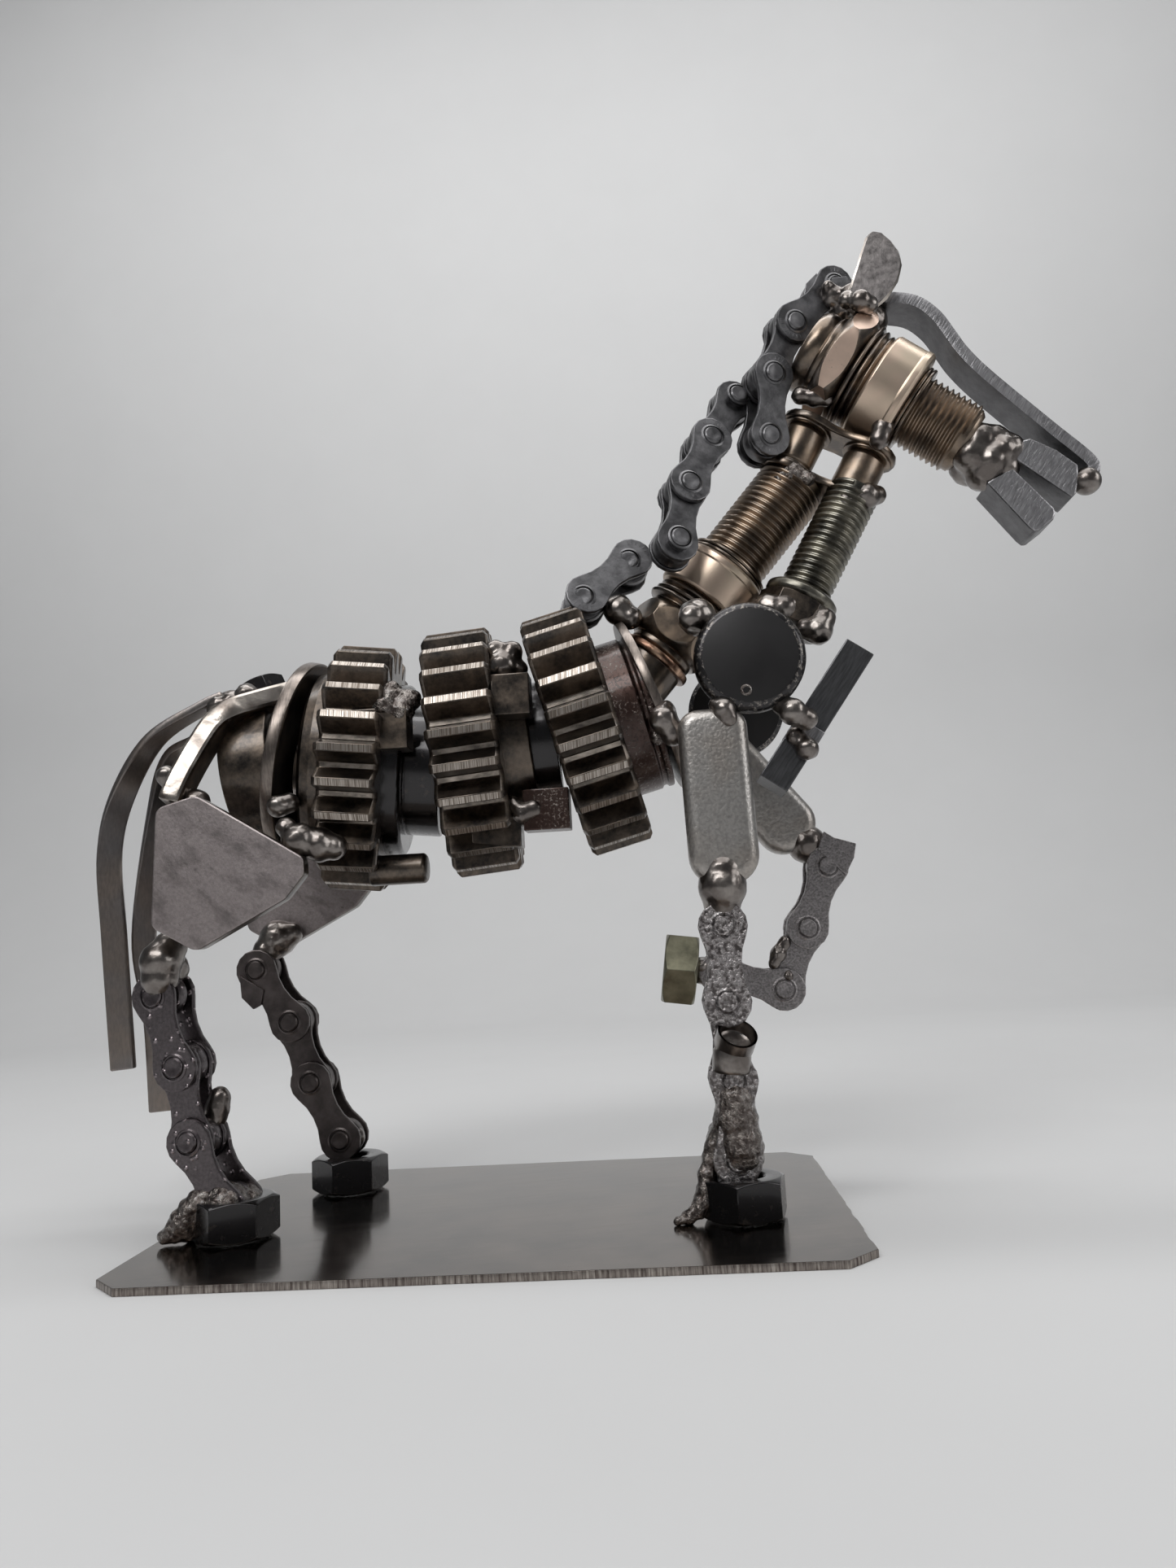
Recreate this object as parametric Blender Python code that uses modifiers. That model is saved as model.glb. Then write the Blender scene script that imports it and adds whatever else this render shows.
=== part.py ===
"""A horse welded from scrap: gears, spark plug bodies, roller chain, nuts and offcuts on a steel plate.

Run it in Blender: blender --background --python part.py
Frame: +X towards the head, +Y away from the side the horse shows, +Z up,
origin in the middle of the base plate's underside. Blender's unit is the metre; MM turns millimetres into it.
"""

from itertools import pairwise
from math import cos, pi, radians, sin, sqrt, tan

import bmesh
import bpy
from mathutils import Matrix, Vector

MM = 0.001

# Joints between pieces: what is welded together keeps a hairline gap
GAP = 0.3 * MM
TRIM = 0.27 * MM

# Base plate
PLATE_LENGTH = 117.0 * MM
PLATE_WIDTH = 78.0 * MM
PLATE_THICKNESS = 1.2 * MM
PLATE_CORNER = 5.0 * MM

# Hoof nuts, M8
NUT_ACROSS = 13.0 * MM
NUT_HEIGHT = 6.5 * MM
NUT_BORE_RADIUS = 3.4 * MM

# Bicycle chain of the legs and the mane
CHAIN_PITCH = 12.7 * MM
CHAIN_END_RADIUS = 4.1 * MM
CHAIN_WAIST = 2.7 * MM
CHAIN_PLATE = 1.0 * MM
CHAIN_WIDTH = 7.0 * MM
CHAIN_ROLLER_RADIUS = 3.6 * MM
CHAIN_PLAY = 0.1 * MM

# Three gears of one size, strung along the barrel
GEAR_TEETH = 24
GEAR_TIP_RADIUS = 23.5 * MM
GEAR_TOOTH_HEIGHT = 4.0 * MM
GEAR_TIP_LAND = 1.3 * MM
GEAR_ROOT_LAND = 1.0 * MM
GEAR_BORE_RADIUS = 8.0 * MM
REAR_GEAR_WIDTH = 11.0 * MM
MIDDLE_GEAR_WIDTH = 12.5 * MM
FRONT_GEAR_WIDTH = 12.0 * MM
REAR_GEAR_SPACE = 9.8 * MM
FRONT_GEAR_SPACE = 9.6 * MM
REAR_HUB_RADIUS = 18.0 * MM
REAR_HUB_LENGTH = 4.0 * MM
FRONT_HUB_RADIUS = 15.0 * MM
FRONT_HUB_LENGTH = 7.0 * MM
DOG_WIDTH = 7.5 * MM
PEG_RADIUS = 2.8 * MM
BARREL_Y = 3.5 * MM
BARREL_RISE = 37.0 * MM

# Thin rings at the hips and the withers
HIP_RING_RADIUS = 19.5 * MM
HIP_RING_THICKNESS = 2.5 * MM
HIP_BEARING_RADIUS = 15.0 * MM
HIP_BEARING_LENGTH = 9.0 * MM
RING_BORE_RADIUS = 9.4 * MM
WASHER_RADIUS = 17.0 * MM
WASHER_THICKNESS = 1.7 * MM

# Cut plates, bars and discs
THIGH_THICKNESS = 3.0 * MM
THIGH_CORNER = 3.0 * MM
SHOULDER_BAR_LENGTH = 30.5 * MM
SHOULDER_BAR_WIDTH = 12.0 * MM
SHOULDER_BAR_THICKNESS = 6.0 * MM
SHOULDER_BAR_CORNER = 4.0 * MM
BAR_WELD_OVERLAP = 1.6 * MM
DISC_RADIUS = 9.75 * MM
DISC_THICKNESS = 4.5 * MM
CHEST_BLOCK_LENGTH = 29.0 * MM
CHEST_BLOCK_HEIGHT = 5.5 * MM
CHEST_BLOCK_DEPTH = 9.0 * MM

# Spark plug bodies of the neck and the head, M14
PLUG_THREAD_RADIUS = 7.0 * MM
PLUG_THREAD_CHAMFER = 0.8 * MM
PLUG_COLLAR_LENGTH = 8.2 * MM
PLUG_GROOVE_LENGTH = 4.0 * MM
NECK_THREAD_LENGTH = 24.0 * MM
NECK_COLLAR_RADIUS = 9.4 * MM
NECK_HEX_ACROSS = 16.0 * MM
NECK_HEX_LENGTH = 7.6 * MM
NECK_TAIL_RADIUS = 6.6 * MM
NECK_TAIL_LENGTH = 10.0 * MM
HEAD_THREAD_LENGTH = 14.0 * MM
HEAD_COLLAR_RADIUS = 10.6 * MM
HEAD_HEX_ACROSS = 20.8 * MM
HEAD_HEX_LENGTH = 5.6 * MM
HEAD_TAIL_RADIUS = 8.4 * MM
HEAD_TAIL_LENGTH = 5.0 * MM

# Bolt at the front of the neck, M10
BOLT_THREAD_RADIUS = 5.0 * MM
BOLT_THREAD_LENGTH = 22.8 * MM
BOLT_FLANGE_RADIUS = 7.1 * MM
BOLT_FLANGE_THICKNESS = 2.4 * MM
BOLT_HEAD_ACROSS = 13.0 * MM
BOLT_HEAD_HEIGHT = 5.0 * MM

# Motorcycle chain link at the throat
LINK_PITCH = 12.7 * MM
LINK_END_RADIUS = 5.6 * MM
LINK_WAIST = 4.2 * MM
LINK_PLATE = 1.5 * MM
LINK_INSIDE = 9.0 * MM
LINK_ROLLER_RADIUS = 4.2 * MM

# Bent strips
RUMP_STRAP_WIDTH = 5.5 * MM
RUMP_STRAP_THICKNESS = 3.0 * MM
RUMP_NUT_ACROSS = 9.0 * MM
RUMP_NUT_HEIGHT = 6.0 * MM
TAIL_WIDTH = 4.6 * MM
TAIL_THICKNESS = 1.7 * MM
BROW_STRAP_WIDTH = 8.0 * MM
BROW_STRAP_THICKNESS = 2.3 * MM

# Jaws, nose and ears
JAW_DEPTH = 8.0 * MM
NOSE_BEAD_RADIUS = 2.4 * MM
EAR_THICKNESS = 3.0 * MM

# The body stands three links above the hoof nuts; its pose is given in millimetres from there
HOOF_TOP = PLATE_THICKNESS + GAP + NUT_HEIGHT
BODY_HEIGHT = HOOF_TOP + 3 * CHAIN_PITCH

X = Vector((1, 0, 0))
Y = Vector((0, 1, 0))
Z = Vector((0, 0, 1))

ROUND_SIDES = 12
PLUG_SIDES = 14
RING_SIDES = 18
PIN_SIDES = 5
BEAD_SWELL = 1.1

DARK_STEEL = (0.10, 0.095, 0.095)
CHAIN_STEEL = (0.20, 0.19, 0.185)
SATIN_STEEL = (0.36, 0.34, 0.345)
BRONZED = (0.42, 0.33, 0.26)
ZINC = (0.40, 0.39, 0.32)

fitted = []
parts = None
cutters = None


def body(x, y, z):
    """A point of the horse's pose, in millimetres from the body's datum."""
    return Vector((x, y, z)) * MM + Z * BODY_HEIGHT


def frame(at, z, x=X):
    """A place at a point, with its own Z along z and its X as near x as it can be."""
    z = z.normalized()
    x = (x - x.project(z)).normalized()
    return Matrix.Translation(at) @ Matrix((x, z.cross(x), z)).transposed().to_4x4()


def new_shape(mesh, place):
    """A cutter or a shape that a piece will be made from."""
    shape = bpy.data.objects.new("shape", mesh)
    shape.matrix_world = place
    shape.display_type = "WIRE"
    shape.hide_render = True
    cutters.objects.link(shape)
    return shape


def shape_from_bmesh(bm, place):
    bmesh.ops.remove_doubles(bm, verts=bm.verts, dist=0.0005 * MM)
    bmesh.ops.recalc_face_normals(bm, faces=bm.faces)
    mesh = bpy.data.meshes.new("shape")
    bm.to_mesh(mesh)
    bm.free()
    return new_shape(mesh, place)


def as_mesh_shape(source, place):
    """Turns a curve, or an object with a modifier, into a plain closed mesh at its place."""
    graph = bpy.context.evaluated_depsgraph_get()
    graph.update()
    mesh = bpy.data.meshes.new_from_object(source.evaluated_get(graph))
    bm = bmesh.new()
    bm.from_mesh(mesh)
    bpy.data.objects.remove(source)
    bpy.data.meshes.remove(mesh)
    return shape_from_bmesh(bm, place)


def prism(outline, thickness, place, chamfer=0.0):
    """A flat outline, given as (x, y) pairs, thickened both ways from its plane."""
    curve = bpy.data.curves.new("outline", "CURVE")
    curve.dimensions = "2D"
    curve.fill_mode = "BOTH"
    curve.extrude = thickness / 2 - chamfer
    curve.bevel_depth = chamfer
    curve.bevel_resolution = 0
    curve.offset = -chamfer
    spline = curve.splines.new("POLY")
    spline.points.add(len(outline) - 1)
    for point, (x, y) in zip(spline.points, outline):
        point.co = (x, y, 0, 1)
    spline.use_cyclic_u = True
    source = bpy.data.objects.new("outline", curve)
    cutters.objects.link(source)
    return as_mesh_shape(source, place)


def turned(profile, place, sides=ROUND_SIDES):
    """A turned shape: (radius, height) pairs from the top of the axis to its bottom."""
    mesh = bpy.data.meshes.new("profile")
    points = [(radius, 0, height) for radius, height in profile]
    mesh.from_pydata(points, list(pairwise(range(len(points)))), [])
    source = bpy.data.objects.new("profile", mesh)
    cutters.objects.link(source)
    screw = source.modifiers.new("Screw", "SCREW")
    screw.steps = screw.render_steps = sides
    screw.use_merge_vertices = True
    screw.merge_threshold = 0.001 * MM
    return as_mesh_shape(source, place)


def rod(start, end, radius, sides=ROUND_SIDES):
    """A round bar between two points."""
    along = end - start
    bm = bmesh.new()
    bmesh.ops.create_cone(bm, cap_ends=True, segments=sides, radius1=radius, radius2=radius,
                          depth=along.length)
    facing = Z if abs(along.x) > 0.9 * along.length else X
    return shape_from_bmesh(bm, frame((start + end) / 2, along, facing))


def box(size, place):
    bm = bmesh.new()
    bmesh.ops.create_cube(bm, size=1)
    bmesh.ops.scale(bm, vec=size, verts=bm.verts)
    return shape_from_bmesh(bm, place)


def bead(at, radius, stretch=(1, 1, 1)):
    """A blob of weld metal."""
    bm = bmesh.new()
    bmesh.ops.create_icosphere(bm, subdivisions=1, radius=BEAD_SWELL * radius)
    bmesh.ops.scale(bm, vec=stretch, verts=bm.verts)
    return shape_from_bmesh(bm, Matrix.Translation(at))


def loft(rings, place=Matrix.Identity(4)):
    """A skin over a row of sections that have as many points each, closed at both ends."""
    bm = bmesh.new()
    rows = [[bm.verts.new(point) for point in ring] for ring in rings]
    for row, following in pairwise(rows):
        for n in range(len(row)):
            m = (n + 1) % len(row)
            bm.faces.new((row[n], row[m], following[m], following[n]))
    bm.faces.new(rows[0])
    bm.faces.new(rows[-1])
    return shape_from_bmesh(bm, place)


def strip(path, width, thickness, sides):
    """A flat bar bent along a path; its width lies along sides, one direction a point."""
    rings = []
    for n, point in enumerate(path):
        along = (path[min(n + 1, len(path) - 1)] - path[max(n - 1, 0)]).normalized()
        across = (sides[n] - sides[n].project(along)).normalized() * width / 2
        up = along.cross(across).normalized() * thickness / 2
        rings.append([point - path[0] + across * a + up * b for a, b in ((1, 1), (-1, 1), (-1, -1), (1, -1))])
    return loft(rings, Matrix.Translation(path[0]))


def grown(shape, by):
    """A copy of a shape with every face moved outwards."""
    bm = bmesh.new()
    bm.from_mesh(shape.data)
    bm.normal_update()
    moves = [(vert, vert.normal * vert.calc_shell_factor() * by) for vert in bm.verts]
    for vert, move in moves:
        vert.co += move
    mesh = bpy.data.meshes.new("shape")
    bm.to_mesh(mesh)
    bm.free()
    return new_shape(mesh, shape.matrix_world.copy())


def combine(piece, operation, others):
    """Applies one Boolean of a piece with several closed shapes."""
    if not others:
        return
    group = bpy.data.collections.new("operands")
    bpy.context.scene.collection.children.link(group)
    for other in others:
        group.objects.link(other)
    step = piece.modifiers.new("Boolean", "BOOLEAN")
    step.operation = operation
    step.solver = "EXACT"
    step.operand_type = "COLLECTION"
    step.collection = group
    graph = bpy.context.evaluated_depsgraph_get()
    graph.update()
    mesh = bpy.data.meshes.new_from_object(piece.evaluated_get(graph))
    piece.modifiers.clear()
    piece.data = mesh
    bpy.data.collections.remove(group)


def extent(thing):
    """The lowest and highest corner of an object's box in the world."""
    points = [thing.matrix_world @ vert.co for vert in thing.data.vertices]
    return [[pick(point[n] for point in points) for n in range(3)] for pick in (min, max)]


def meet(a, b):
    return all(a[0][n] < b[1][n] and b[0][n] < a[1][n] for n in range(3))


def keep_main_body(mesh):
    """Drops the offcuts that a trim leaves, and closes any pocket sealed inside."""
    bm = bmesh.new()
    bm.from_mesh(mesh)
    bmesh.ops.remove_doubles(bm, verts=bm.verts, dist=0.001 * MM)
    bmesh.ops.dissolve_limit(bm, angle_limit=radians(0.5), verts=bm.verts, edges=bm.edges)
    bmesh.ops.holes_fill(bm, edges=[edge for edge in bm.edges if edge.is_boundary])
    bmesh.ops.triangulate(bm, faces=bm.faces)
    left = set(bm.faces)
    islands = []
    while left:
        island = {left.pop()}
        waiting = list(island)
        while waiting:
            face = waiting.pop()
            for edge in face.edges:
                for other in edge.link_faces:
                    if other in left:
                        left.discard(other)
                        island.add(other)
                        waiting.append(other)
        islands.append(island)

    def volume(island):
        return sum(face.verts[0].co.dot(face.verts[1].co.cross(face.verts[2].co)) for face in island) / 6

    main = max(islands, key=volume)
    bmesh.ops.delete(bm, geom=[face for face in bm.faces if face not in main], context="FACES")
    bm.to_mesh(mesh)
    bm.free()


def finish_of(name, colour, roughness):
    material = bpy.data.materials.new(name)
    material.use_nodes = True
    surface = material.node_tree.nodes["Principled BSDF"]
    surface.inputs["Base Color"].default_value = (*colour, 1)
    surface.inputs["Metallic"].default_value = 1.0
    surface.inputs["Roughness"].default_value = roughness
    return material


def fit(name, shapes, colour, roughness=0.4, holes=(), envelope=None):
    """Makes one piece: joins its shapes, cuts its holes, and trims it clear of the pieces fitted before it."""
    room = [grown(shape, TRIM) for shape in envelope or shapes]
    piece = shapes[0]
    combine(piece, "UNION", shapes[1:])
    combine(piece, "DIFFERENCE", list(holes))
    own = extent(piece)
    combine(piece, "DIFFERENCE", [cutter for cutter, reach in fitted if meet(own, reach)])
    keep_main_body(piece.data)
    fitted.extend((cutter, extent(cutter)) for cutter in room)
    cutters.objects.unlink(piece)
    parts.objects.link(piece)
    piece.name = name
    piece.data.name = name
    piece.display_type = "TEXTURED"
    piece.hide_render = False
    piece.data.materials.clear()
    piece.data.materials.append(finish_of(name, colour, roughness))
    return piece


def circle(radius, sides=ROUND_SIDES):
    return [(radius * cos(2 * pi * n / sides), radius * sin(2 * pi * n / sides)) for n in range(sides)]


def hexagon(across):
    return circle(across / sqrt(3), 6)


def rounded(corners, radius, steps=2):
    """An outline with each corner replaced by an arc."""
    outline = []
    for n, corner in enumerate(corners):
        at = Vector(corner)
        back = (Vector(corners[n - 1]) - at).normalized()
        ahead = (Vector(corners[(n + 1) % len(corners)]) - at).normalized()
        half = back.angle(ahead) / 2
        middle = at + (back + ahead).normalized() * radius / sin(half)
        first = at + back * radius / tan(half) - middle
        last = at + ahead * radius / tan(half) - middle
        for step in range(steps + 1):
            spoke = first.normalized().slerp(last.normalized(), step / steps)
            outline.append(tuple(middle + spoke * radius))
    return outline


def rectangle(length, width):
    x, y = length / 2, width / 2
    return [(x, y), (-x, y), (-x, -y), (x, -y)]


def link_outline(pitch, end_radius, waist):
    """The figure of eight of a chain's side plate."""
    outline = []
    for end in (1, -1):
        for turn in (-62, 0, 62):
            reach = pitch / 2 + end_radius * cos(radians(turn))
            outline.append((end * reach, end * end_radius * sin(radians(turn))))
        outline.append((0, end * waist))
    return outline


def pin_way(pins):
    """The way a chain's pins lie: square to its first link and its last."""
    across = (pins[1] - pins[0]).cross(pins[-1] - pins[-2]).normalized()
    return across if across.y > 0 else -across


def chain(pins, side, outer=True):
    """Links through a row of pins; side is the way the pins lie."""
    plate = link_outline(CHAIN_PITCH, CHAIN_END_RADIUS, CHAIN_WAIST)
    outer_offset = (CHAIN_WIDTH - CHAIN_PLATE) / 2
    shapes = []
    for start, end in pairwise(pins):
        along = end - start
        across = (side - side.project(along)).normalized()
        offset = across * (outer_offset if outer else outer_offset - CHAIN_PLATE - CHAIN_PLAY)
        for at in ((start + end) / 2 + offset, (start + end) / 2 - offset):
            shapes.append(prism(plate, CHAIN_PLATE, frame(at, across, along)))
        outer = not outer
    reach = side.normalized() * outer_offset
    for pin in pins:
        shapes.append(rod(pin - reach, pin + reach, CHAIN_ROLLER_RADIUS, PIN_SIDES))
    return shapes


def pins_along(start, *steps):
    """The pins of a run of links: each step is a direction, one pitch long."""
    pins = [start]
    for step in steps:
        pins.append(pins[-1] + Vector(step).normalized() * CHAIN_PITCH)
    return pins


def gear_outline():
    """Straight-flanked teeth between root lands and tip lands."""
    tooth = 2 * pi / GEAR_TEETH
    root_radius = GEAR_TIP_RADIUS - GEAR_TOOTH_HEIGHT
    tip = GEAR_TIP_LAND / 2 / GEAR_TIP_RADIUS
    root = tooth / 2 - GEAR_ROOT_LAND / 2 / root_radius
    profile = ((root_radius, -root), (GEAR_TIP_RADIUS, -tip), (GEAR_TIP_RADIUS, tip), (root_radius, root))
    outline = []
    for n in range(GEAR_TEETH):
        for radius, turn in profile:
            outline.append((radius * cos(n * tooth + turn), radius * sin(n * tooth + turn)))
    return outline


def gear_hub(place, gear_width, radius, length):
    """A hub that stands out of a gear's front face, or out of its back if the length is negative."""
    side = 1 if length > 0 else -1
    middle = side * (abs(length) / 2 + gear_width / 4)
    return prism(circle(radius), abs(length) + gear_width / 2, place @ Matrix.Translation(Z * middle))


def gear(name, place, width, extras):
    """A gear about its own Z, with its hub, dogs and beads already in place."""
    wheel = prism(gear_outline(), width, place)
    room = prism(circle(GEAR_TIP_RADIUS / cos(pi / ROUND_SIDES)), width, place)
    bore = prism(circle(GEAR_BORE_RADIUS), 4 * width, place)
    fit(name, [wheel, *extras], DARK_STEEL, 0.35, [bore], [room, *extras])


def plug_body(place, thread_length, collar, tail, hex_across, hex_length):
    """A spark plug body along its own Z: tail, hexagon, grooved rings, collar, thread.

    The collar is given by its radius, and the tail by its radius and length.
    """
    tail_radius, hex_start = tail
    groove_start = hex_start + hex_length
    collar_start = groove_start + PLUG_GROOVE_LENGTH
    thread_start = collar_start + PLUG_COLLAR_LENGTH
    end = thread_start + thread_length
    groove = PLUG_GROOVE_LENGTH / 3
    core = (PLUG_THREAD_RADIUS + collar) / 2
    ridge = (core + collar) / 2
    chamfer = PLUG_THREAD_CHAMFER
    profile = [(0, end), (PLUG_THREAD_RADIUS - chamfer, end), (PLUG_THREAD_RADIUS, end - chamfer),
               (PLUG_THREAD_RADIUS, thread_start), (collar - chamfer, thread_start),
               (collar, thread_start - chamfer), (collar, collar_start), (core, collar_start - groove),
               (ridge, groove_start + groove), (core, groove_start), (tail_radius, hex_start),
               (tail_radius, 0), (0, 0)]
    turn = Matrix.Rotation(pi / 6, 4, "Z")
    hexagonal = prism(hexagon(hex_across), hex_length,
                      place @ Matrix.Translation(Z * (hex_start + hex_length / 2)) @ turn)
    return [turned(profile, place, PLUG_SIDES), hexagonal]


def nut(at, axis, across, height, bore, facing=X):
    place = frame(at + axis.normalized() * height / 2, axis, facing)
    return prism(hexagon(across), height, place), prism(circle(bore, 12), 2 * height, place)


def build_base():
    corners = []
    half_length, half_width = PLATE_LENGTH / 2, PLATE_WIDTH / 2
    for x, y in ((1, 1), (-1, 1), (-1, -1), (1, -1)):
        ends = [(x * half_length, y * (half_width - PLATE_CORNER)),
                (x * (half_length - PLATE_CORNER), y * half_width)]
        corners.extend(ends if x * y > 0 else reversed(ends))
    plate = prism(corners, PLATE_THICKNESS, Matrix.Translation(Z * PLATE_THICKNESS / 2))
    fit("base_plate", [plate], DARK_STEEL, 0.25)


def build_hooves(feet):
    """A nut under each standing leg."""
    for name, foot in feet.items():
        at = Vector((foot.x, foot.y, PLATE_THICKNESS + GAP))
        hexagonal, bore = nut(at, Z, NUT_ACROSS, NUT_HEIGHT, NUT_BORE_RADIUS, facing=Y + X * 0.2)
        fit(name, [hexagonal], DARK_STEEL, 0.3, [bore], [hexagonal])


def build_barrel():
    """Three gears nose to tail, with a thin washer in front of the foremost."""
    rear_axis = Vector((1, 0.108, -0.105)).normalized()
    middle_axis = Vector((1, 0.052, 0.09)).normalized()
    front_axis = Vector((1, 0, 0.257)).normalized()
    washer_axis = Vector((1, 0, 0.36)).normalized()
    rear_at = Vector((-25.2 * MM, BARREL_Y, BODY_HEIGHT + BARREL_RISE))
    step = (REAR_GEAR_WIDTH + MIDDLE_GEAR_WIDTH) / 2 + REAR_GEAR_SPACE
    middle_at = rear_at + Vector((step, 0, 1.7 * MM))
    step = (MIDDLE_GEAR_WIDTH + FRONT_GEAR_WIDTH) / 2 + FRONT_GEAR_SPACE
    front_at = middle_at + Vector((step, 0, 2.8 * MM))
    hub_end = front_at + front_axis * (FRONT_GEAR_WIDTH / 2 + FRONT_HUB_LENGTH)
    washer_at = hub_end + Vector((0.2 * MM, 0, 1 * MM))

    washer_place = frame(washer_at, washer_axis)
    washer = prism(circle(WASHER_RADIUS, RING_SIDES), WASHER_THICKNESS, washer_place)
    hole = prism(circle(GEAR_BORE_RADIUS), 4 * WASHER_THICKNESS, washer_place)
    fit("withers_washer", [washer], SATIN_STEEL, 0.35, [hole], [washer])

    reach = FRONT_GEAR_SPACE + FRONT_GEAR_WIDTH / 2
    near = Vector((0, -GEAR_TIP_RADIUS * 0.66, 0))
    far = Vector((0, GEAR_TIP_RADIUS * 0.66, 0))
    low = Vector((0, -GEAR_TIP_RADIUS * 0.40, -GEAR_TIP_RADIUS * 0.68))
    side = (DOG_WIDTH * 0.7, DOG_WIDTH)

    front_place = frame(front_at, front_axis, Z)
    low_dog_at = front_at + low - X * (FRONT_GEAR_WIDTH / 2 + 2 * MM)
    low_dog = box((FRONT_GEAR_SPACE, *side), Matrix.Translation(low_dog_at))
    hub = gear_hub(front_place, FRONT_GEAR_WIDTH, FRONT_HUB_RADIUS, FRONT_HUB_LENGTH)
    gear("front_gear", front_place, FRONT_GEAR_WIDTH, [hub, low_dog])

    middle_place = frame(middle_at, middle_axis, Z)
    start = MIDDLE_GEAR_WIDTH / 2
    dogs = [
        box((reach, *side), Matrix.Translation(middle_at + near + Z * 7 * MM + X * (start + 3 * MM))),
        box((reach, *side), Matrix.Translation(middle_at + far + Z * 4 * MM + X * (start + 3 * MM))),
        box((reach, *side), Matrix.Translation(middle_at + low + X * (start + 2 * MM))),
        bead(middle_at + Vector((9, -11, 18)) * MM, 3.4 * MM, (1.3, 1, 1)),
    ]
    gear("middle_gear", middle_place, MIDDLE_GEAR_WIDTH, dogs)

    rear_place = frame(rear_at, rear_axis, Z)
    start = REAR_GEAR_WIDTH / 2
    peg_at = rear_at + Vector((start - 3 * MM, -GEAR_TIP_RADIUS * 0.28, -GEAR_TIP_RADIUS * 0.87))
    dogs = [
        box((reach, *side), Matrix.Translation(rear_at + near + Z * 4 * MM + X * (start + 3 * MM))),
        box((reach, *side), Matrix.Translation(rear_at + far + Z * 2 * MM + X * (start + 3 * MM))),
        rod(peg_at, peg_at + X * 10.5 * MM, PEG_RADIUS, 12),
    ]
    hub = gear_hub(rear_place, REAR_GEAR_WIDTH, REAR_HUB_RADIUS, -REAR_HUB_LENGTH)
    gear("rear_gear", rear_place, REAR_GEAR_WIDTH, [hub, *dogs])
    return rear_at


def build_hips(rear_at):
    """The rings behind the rear gear, the thigh plates, the rump straps and the nut on the rump."""
    ring_back = REAR_GEAR_WIDTH / 2 + REAR_HUB_LENGTH + HIP_RING_THICKNESS / 2 + 1.0 * MM
    ring_at = rear_at - X * ring_back + Z * 2 * MM
    ring_axis = Vector((1, 0, -0.21))
    ring = prism(circle(HIP_RING_RADIUS, RING_SIDES), HIP_RING_THICKNESS, frame(ring_at, ring_axis))
    hole = prism(circle(RING_BORE_RADIUS), 4 * HIP_RING_THICKNESS, frame(ring_at, ring_axis))
    fit("hip_ring", [ring], SATIN_STEEL, 0.35, [hole], [ring])

    bearing_at = ring_at - X * (HIP_RING_THICKNESS / 2 + HIP_BEARING_LENGTH / 2 + 1.2 * MM) - Z * 2 * MM
    bearing_axis = Vector((1, 0, 0.12))
    bearing = prism(circle(HIP_BEARING_RADIUS), HIP_BEARING_LENGTH, frame(bearing_at, bearing_axis))
    hole = prism(circle(RING_BORE_RADIUS), 3 * HIP_BEARING_LENGTH, frame(bearing_at, bearing_axis))
    fit("hip_bearing", [bearing], BRONZED, 0.5, [hole], [bearing])

    spread = GEAR_TIP_RADIUS - 1.5 * MM
    corners = [(-56.8, 7.9), (-49.0, 3.4), (-33.4, 11.4), (-30.0, 15.5), (-30.1, 18.4), (-48.9, 30.3),
               (-56.1, 28.4)]
    outline = rounded([(x * MM, z * MM) for x, z in corners], THIGH_CORNER / 2)
    for name, hand in (("near_thigh", -1), ("far_thigh", 1)):
        plate_at = Vector((0, BARREL_Y + hand * spread, BODY_HEIGHT))
        plate = prism(outline, THIGH_THICKNESS, frame(plate_at, -Y))
        weld = bead(plate_at + Vector((-31.5, -2.5 * hand, 22)) * MM, 4.0 * MM, (1.2, 0.9, 1.0))
        fit(name, [plate, weld], SATIN_STEEL, 0.4)

    # Each point's distance from the middle line is its y; a strap's width turns down round the rump
    line = [(-37.0, 7.5, 53.2), (-43.5, 12.5, 49.2), (-51.0, 17.5, 42.2), (-55.5, 21.9, 31.4),
            (-55.0, 22.3, 28.0)]
    widths = [Vector((-cos(radians(turn)), 0, sin(radians(turn)))) for turn in (58, 53, 37, 12, -9)]
    for name, hand in (("near_rump_strap", -1), ("far_rump_strap", 1)):
        path = [body(x, hand * y, z) + Y * BARREL_Y for x, y, z in line]
        strap = strip(path, RUMP_STRAP_WIDTH, RUMP_STRAP_THICKNESS, widths)
        weld = bead(path[-1] + Vector((0.5, -0.5 * hand, 1.0)) * MM, 3.2 * MM)
        fit(name, [strap, weld], SATIN_STEEL, 0.3)

    nut_at = body(-44.2, 4.5, 50.0)
    lean = Vector((-0.45, 0, 1))
    hexagonal, bore = nut(nut_at, lean, RUMP_NUT_ACROSS, RUMP_NUT_HEIGHT, RUMP_NUT_ACROSS / 4)
    welds = [bead(body(-51.0, 2.5, 51.2), 3.4 * MM, (1.3, 1.6, 0.9)), bead(body(-46.0, -3.5, 51.5), 2.8 * MM)]
    fit("rump_nut", [hexagonal, *welds], DARK_STEEL, 0.35, [bore])


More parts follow.
